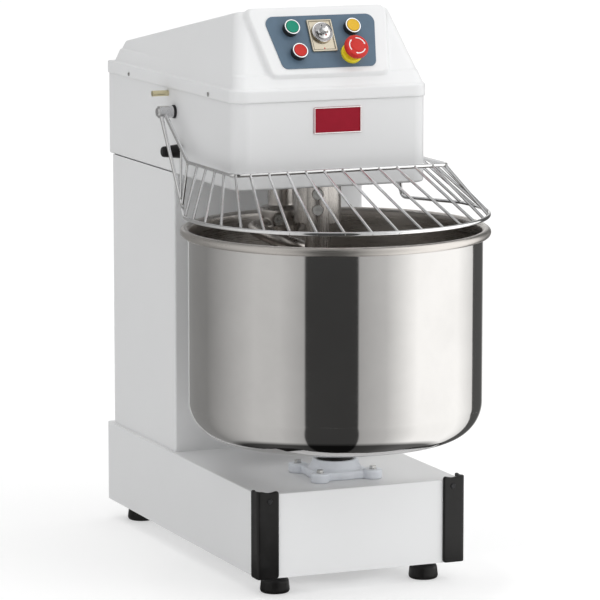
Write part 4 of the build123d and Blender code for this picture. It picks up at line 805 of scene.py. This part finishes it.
MARK_COUNT = 30
MARK_SWEEP = 300
MARK_START = -150
LONG_EVERY = 5
LONG_MARK = (12.9, 0.28)  # inner radius and half width
SHORT_MARK = (14.0, 0.16)
MARK_OUTER = 15.4
MARK_HEIGHTS = (7.9, 8.16)
verts, faces = [], []
for step in range(MARK_COUNT + 1):
    angle = radians(MARK_START + MARK_SWEEP * step / MARK_COUNT)
    mark_inner, half = LONG_MARK if step % LONG_EVERY == 0 else SHORT_MARK
    along = Vector((cos(angle), sin(angle)))
    beside = Vector((-along.y, along.x)) * half
    corners = [along * mark_inner - beside, along * MARK_OUTER - beside,
               along * MARK_OUTER + beside, along * mark_inner + beside]
    prism(verts, faces, [(corner.x, corner.y) for corner in corners], *MARK_HEIGHTS,
          pad_matrix(DIAL_AT))
PLATE_LINE = (38, 51)
LINE_WIDTH = 0.7
LINE_HEIGHTS = (4.8, 5.12)
frame_strip(verts, faces, *PLATE_LINE, LINE_WIDTH, *LINE_HEIGHTS, pad_matrix(PLATE_AT))
finished("timer_marks", mesh_of("timer_marks", verts, faces), printed_black, "machine", "black_plastic")
ZERO_HEIGHTS = (3.9, 4.25)
ZERO_ARROW = [(-1.7, -24.5), (1.7, -24.5), (0, -21.2)]
verts, faces = [], []
prism(verts, faces, ZERO_ARROW, *ZERO_HEIGHTS, pad_matrix(PLATE_AT))
finished("timer_zero", mesh_of("timer_zero", verts, faces), red_plastic, "machine", "red_plastic")

# ---------------------------------------------------------------- badge rim
BADGE_INSET = 0.6
BADGE_BAND = 1.3
BADGE_HEIGHTS = (-0.4, 0.25)
badge_low, badge_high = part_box("badge_plate")
badge_matrix = Matrix.Rotation(radians(90), 4, "X")
badge_matrix.translation = Vector(
    ((badge_low.x + badge_high.x) / 2, badge_low.y, (badge_low.z + badge_high.z) / 2)
)
verts, faces = [], []
frame_strip(
    verts, faces, (badge_high.x - badge_low.x) / MM - BADGE_INSET,
    (badge_high.z - badge_low.z) / MM - BADGE_INSET, BADGE_BAND, *BADGE_HEIGHTS, badge_matrix,
)
finished("badge_rim", mesh_of("badge_rim", verts, faces), chrome, "machine", "chrome")


# ---------------------------------------------------------------- floor, light and camera
FLOOR_HALF = 40
FLOOR_SHADE = 0.6
FLOOR_ROUGHNESS = 0.8
FLOOR_GLOW = 0.42
WORLD_LIGHT = 0.5
floor_mesh = bpy.data.meshes.new("floor")
floor_mesh.from_pydata(
    [(x * FLOOR_HALF, y * FLOOR_HALF, 0) for x, y in ((-1, -1), (1, -1), (1, 1), (-1, 1))],
    [], [(0, 1, 2, 3)],
)
floor = bpy.data.objects.new("floor", floor_mesh)
bpy.context.scene.collection.objects.link(floor)
floor_material, _, floor_shader = new_material("floor", (FLOOR_SHADE,) * 3, FLOOR_ROUGHNESS)
floor_shader.inputs["Emission Color"].default_value = (1, 1, 1, 1)
floor_shader.inputs["Emission Strength"].default_value = FLOOR_GLOW
floor_mesh.materials.append(floor_material)

bpy.context.scene.view_settings.view_transform = "Standard"
world = bpy.data.worlds.new("studio")
bpy.context.scene.world = world
world.use_nodes = True
background = world.node_tree.nodes["Background"]
background.inputs["Color"].default_value = (1, 1, 1, 1)
background.inputs["Strength"].default_value = WORLD_LIGHT

CAMERA_AZIMUTH = -22.94
CAMERA_ELEVATION = 8.89
CAMERA_DISTANCE = 6.2505
CAMERA_LENS = 235
SENSOR_WIDTH = 36
CAMERA_TARGET = Vector((-0.0615, BOWL_AXIS.y, 0.4575))


def direction(azimuth, elevation):
    """The unit vector towards an azimuth and elevation in degrees, azimuth 0 at the front."""
    turned, lifted = radians(azimuth), radians(elevation)
    return Vector((sin(turned) * cos(lifted), -cos(turned) * cos(lifted), sin(lifted)))


def soft_sun(name, azimuth, elevation, spread, strength):
    """A very soft even light from one side, invisible in mirrors."""
    light = bpy.data.lights.new(name, "SUN")
    light.angle = radians(spread)
    light.energy = strength
    lamp = bpy.data.objects.new(name, light)
    bpy.context.scene.collection.objects.link(lamp)
    lamp.rotation_mode = "QUATERNION"
    lamp.rotation_quaternion = direction(azimuth, elevation).to_track_quat("Z", "Y")
    lamp.visible_glossy = False


soft_sun("key_right", 42, 28, 50, 0.6)
soft_sun("front_low", 5, 14, 40, 0.2)
soft_sun("side_right", 96, 20, 40, 0.3)
soft_sun("overhead", 0, 88, 80, 1.4)

# a hidden lamp just under the bowl, which brightens the base's top; metres
UNDER_SIZE = (0.3, 0.22)
UNDER_ENERGY = 0.11
UNDER_PLACE = (0.02, 0.01, -0.004)  # x, then back from the bowl's axis and up from its underside
under_light = bpy.data.lights.new("under_bowl", "AREA")
under_light.shape = "RECTANGLE"
under_light.size, under_light.size_y = UNDER_SIZE
under_light.energy = UNDER_ENERGY
under_lamp = bpy.data.objects.new("under_bowl", under_light)
bpy.context.scene.collection.objects.link(under_lamp)
under_lamp.location = (UNDER_PLACE[0], BOWL_AXIS.y + UNDER_PLACE[1], bowl_low.z + UNDER_PLACE[2])
under_lamp.visible_glossy = False
under_lamp.visible_camera = False


def glowing(name, mesh, only):
    """A staged card that gives off light of its own shade and is seen by one kind of ray only."""
    material = bpy.data.materials.new(name)
    material.use_nodes = True
    tree = material.node_tree
    tree.nodes.clear()
    output = tree.nodes.new("ShaderNodeOutputMaterial")
    glow = tree.nodes.new("ShaderNodeEmission")
    shade = tree.nodes.new("ShaderNodeVertexColor")
    shade.layer_name = "shade"
    link(tree, shade.outputs["Color"], glow.inputs["Color"])
    link(tree, glow.outputs[0], output.inputs["Surface"])
    mesh.materials.append(material)
    card = bpy.data.objects.new(name, mesh)
    bpy.context.scene.collection.objects.link(card)
    card.visible_camera = only == "camera"
    card.visible_glossy = only == "glossy"
    card.visible_diffuse = False
    card.visible_transmission = False
    card.visible_shadow = False


CARD_BLUE = 0.98  # blue against red and green, a slightly warm white


def shaded(mesh, levels):
    """Stores one grey level per vertex."""
    layer = mesh.color_attributes.new("shade", "FLOAT_COLOR", "POINT")
    for index, level in enumerate(levels):
        layer.data[index].color = (level, level, level * CARD_BLUE, 1)


# brightness of what stands round the machine, in degrees to the right of the camera
CARD_LEVELS = [
    (-180, 0.9), (-150, 0.3), (-110, 0.3), (-60, 0.75), (-40, 0.75), (-22, 0.55),  # grey wall, left
    (-21, 0.06), (15, 0.06),  # dark gap round the camera
    (16, 0.55), (35, 0.75), (60, 1.5), (100, 1.5), (123, 1.0),  # large soft lamp, right
    (124, 0.1), (150, 0.1), (165, 0.9), (180, 0.9),  # dark flag, then the wall again
]
CARD_RADIUS = 1.15
CARD_HEIGHT = 2.6
CARD_FOOT = 0.001
MAT_HEIGHT = 0.0006


def card_level(turned):
    """The grey level at an angle, between the two nearest entries."""
    for (start, low), (end, high) in zip(CARD_LEVELS, CARD_LEVELS[1:]):
        if turned <= end:
            return low + (high - low) * (turned - start) / (end - start)
    return CARD_LEVELS[-1][1]


card_verts, card_faces, levels = [], [], []
CARD_STEPS = 720
for step in range(CARD_STEPS + 1):
    turned = -180 + 360 * step / CARD_STEPS
    outward = direction(CAMERA_AZIMUTH + turned, 0) * CARD_RADIUS
    for height in (CARD_FOOT, CARD_HEIGHT):
        card_verts.append(BOWL_AXIS + outward + Vector((0, 0, height)))
        levels.append(card_level(turned))
for step in range(CARD_STEPS):
    low = 2 * step
    card_faces.append((low, low + 2, low + 3, low + 1))
card_mesh = mesh_of("reflection_card", card_verts, card_faces)
shaded(card_mesh, levels)
glowing("reflection_card", card_mesh, "glossy")

# the mat under the cards, glowing and seen only in reflections: distance from the bowl's axis and share of the
# card's shade there; its dark inner rings are painted shade, standing for the shadow under the bowl
MAT_RINGS = [(0.1, 0.1), (0.27, 0.1), (0.33, 0.95), (CARD_RADIUS, 1.0)]
mat_verts, mat_faces, levels = [], [], []
for step in range(CARD_STEPS + 1):
    turned = -180 + 360 * step / CARD_STEPS
    for reach, share in MAT_RINGS:
        mat_verts.append(
            BOWL_AXIS + direction(CAMERA_AZIMUTH + turned, 0) * reach + Vector((0, 0, MAT_HEIGHT))
        )
        levels.append(card_level(turned) * share)
for step in range(CARD_STEPS):
    for ring in range(len(MAT_RINGS) - 1):
        low = len(MAT_RINGS) * step + ring
        mat_faces.append((low, low + len(MAT_RINGS), low + len(MAT_RINGS) + 1, low + 1))
mat_mesh = mesh_of("floor_card", mat_verts, mat_faces)
shaded(mat_mesh, levels)
glowing("floor_card", mat_mesh, "glossy")

DOME_RADIUS = 30
DOME_LEVEL = 1.05
dome_mesh = bpy.data.meshes.new("backdrop")
dome_work = bmesh.new()
bmesh.ops.create_uvsphere(dome_work, u_segments=64, v_segments=32, radius=DOME_RADIUS)
dome_work.to_mesh(dome_mesh)
dome_work.free()
shaded(dome_mesh, [DOME_LEVEL] * len(dome_mesh.vertices))
glowing("backdrop", dome_mesh, "camera")

camera_data = bpy.data.cameras.new("camera")
camera_data.sensor_width = SENSOR_WIDTH
camera_data.lens = CAMERA_LENS
camera = bpy.data.objects.new("camera", camera_data)
bpy.context.scene.collection.objects.link(camera)
away = direction(CAMERA_AZIMUTH, CAMERA_ELEVATION)
camera.location = CAMERA_TARGET + away * CAMERA_DISTANCE
camera.rotation_mode = "QUATERNION"
camera.rotation_quaternion = away.to_track_quat("Z", "Y")
camera_data.clip_end = 200
bpy.context.scene.camera = camera
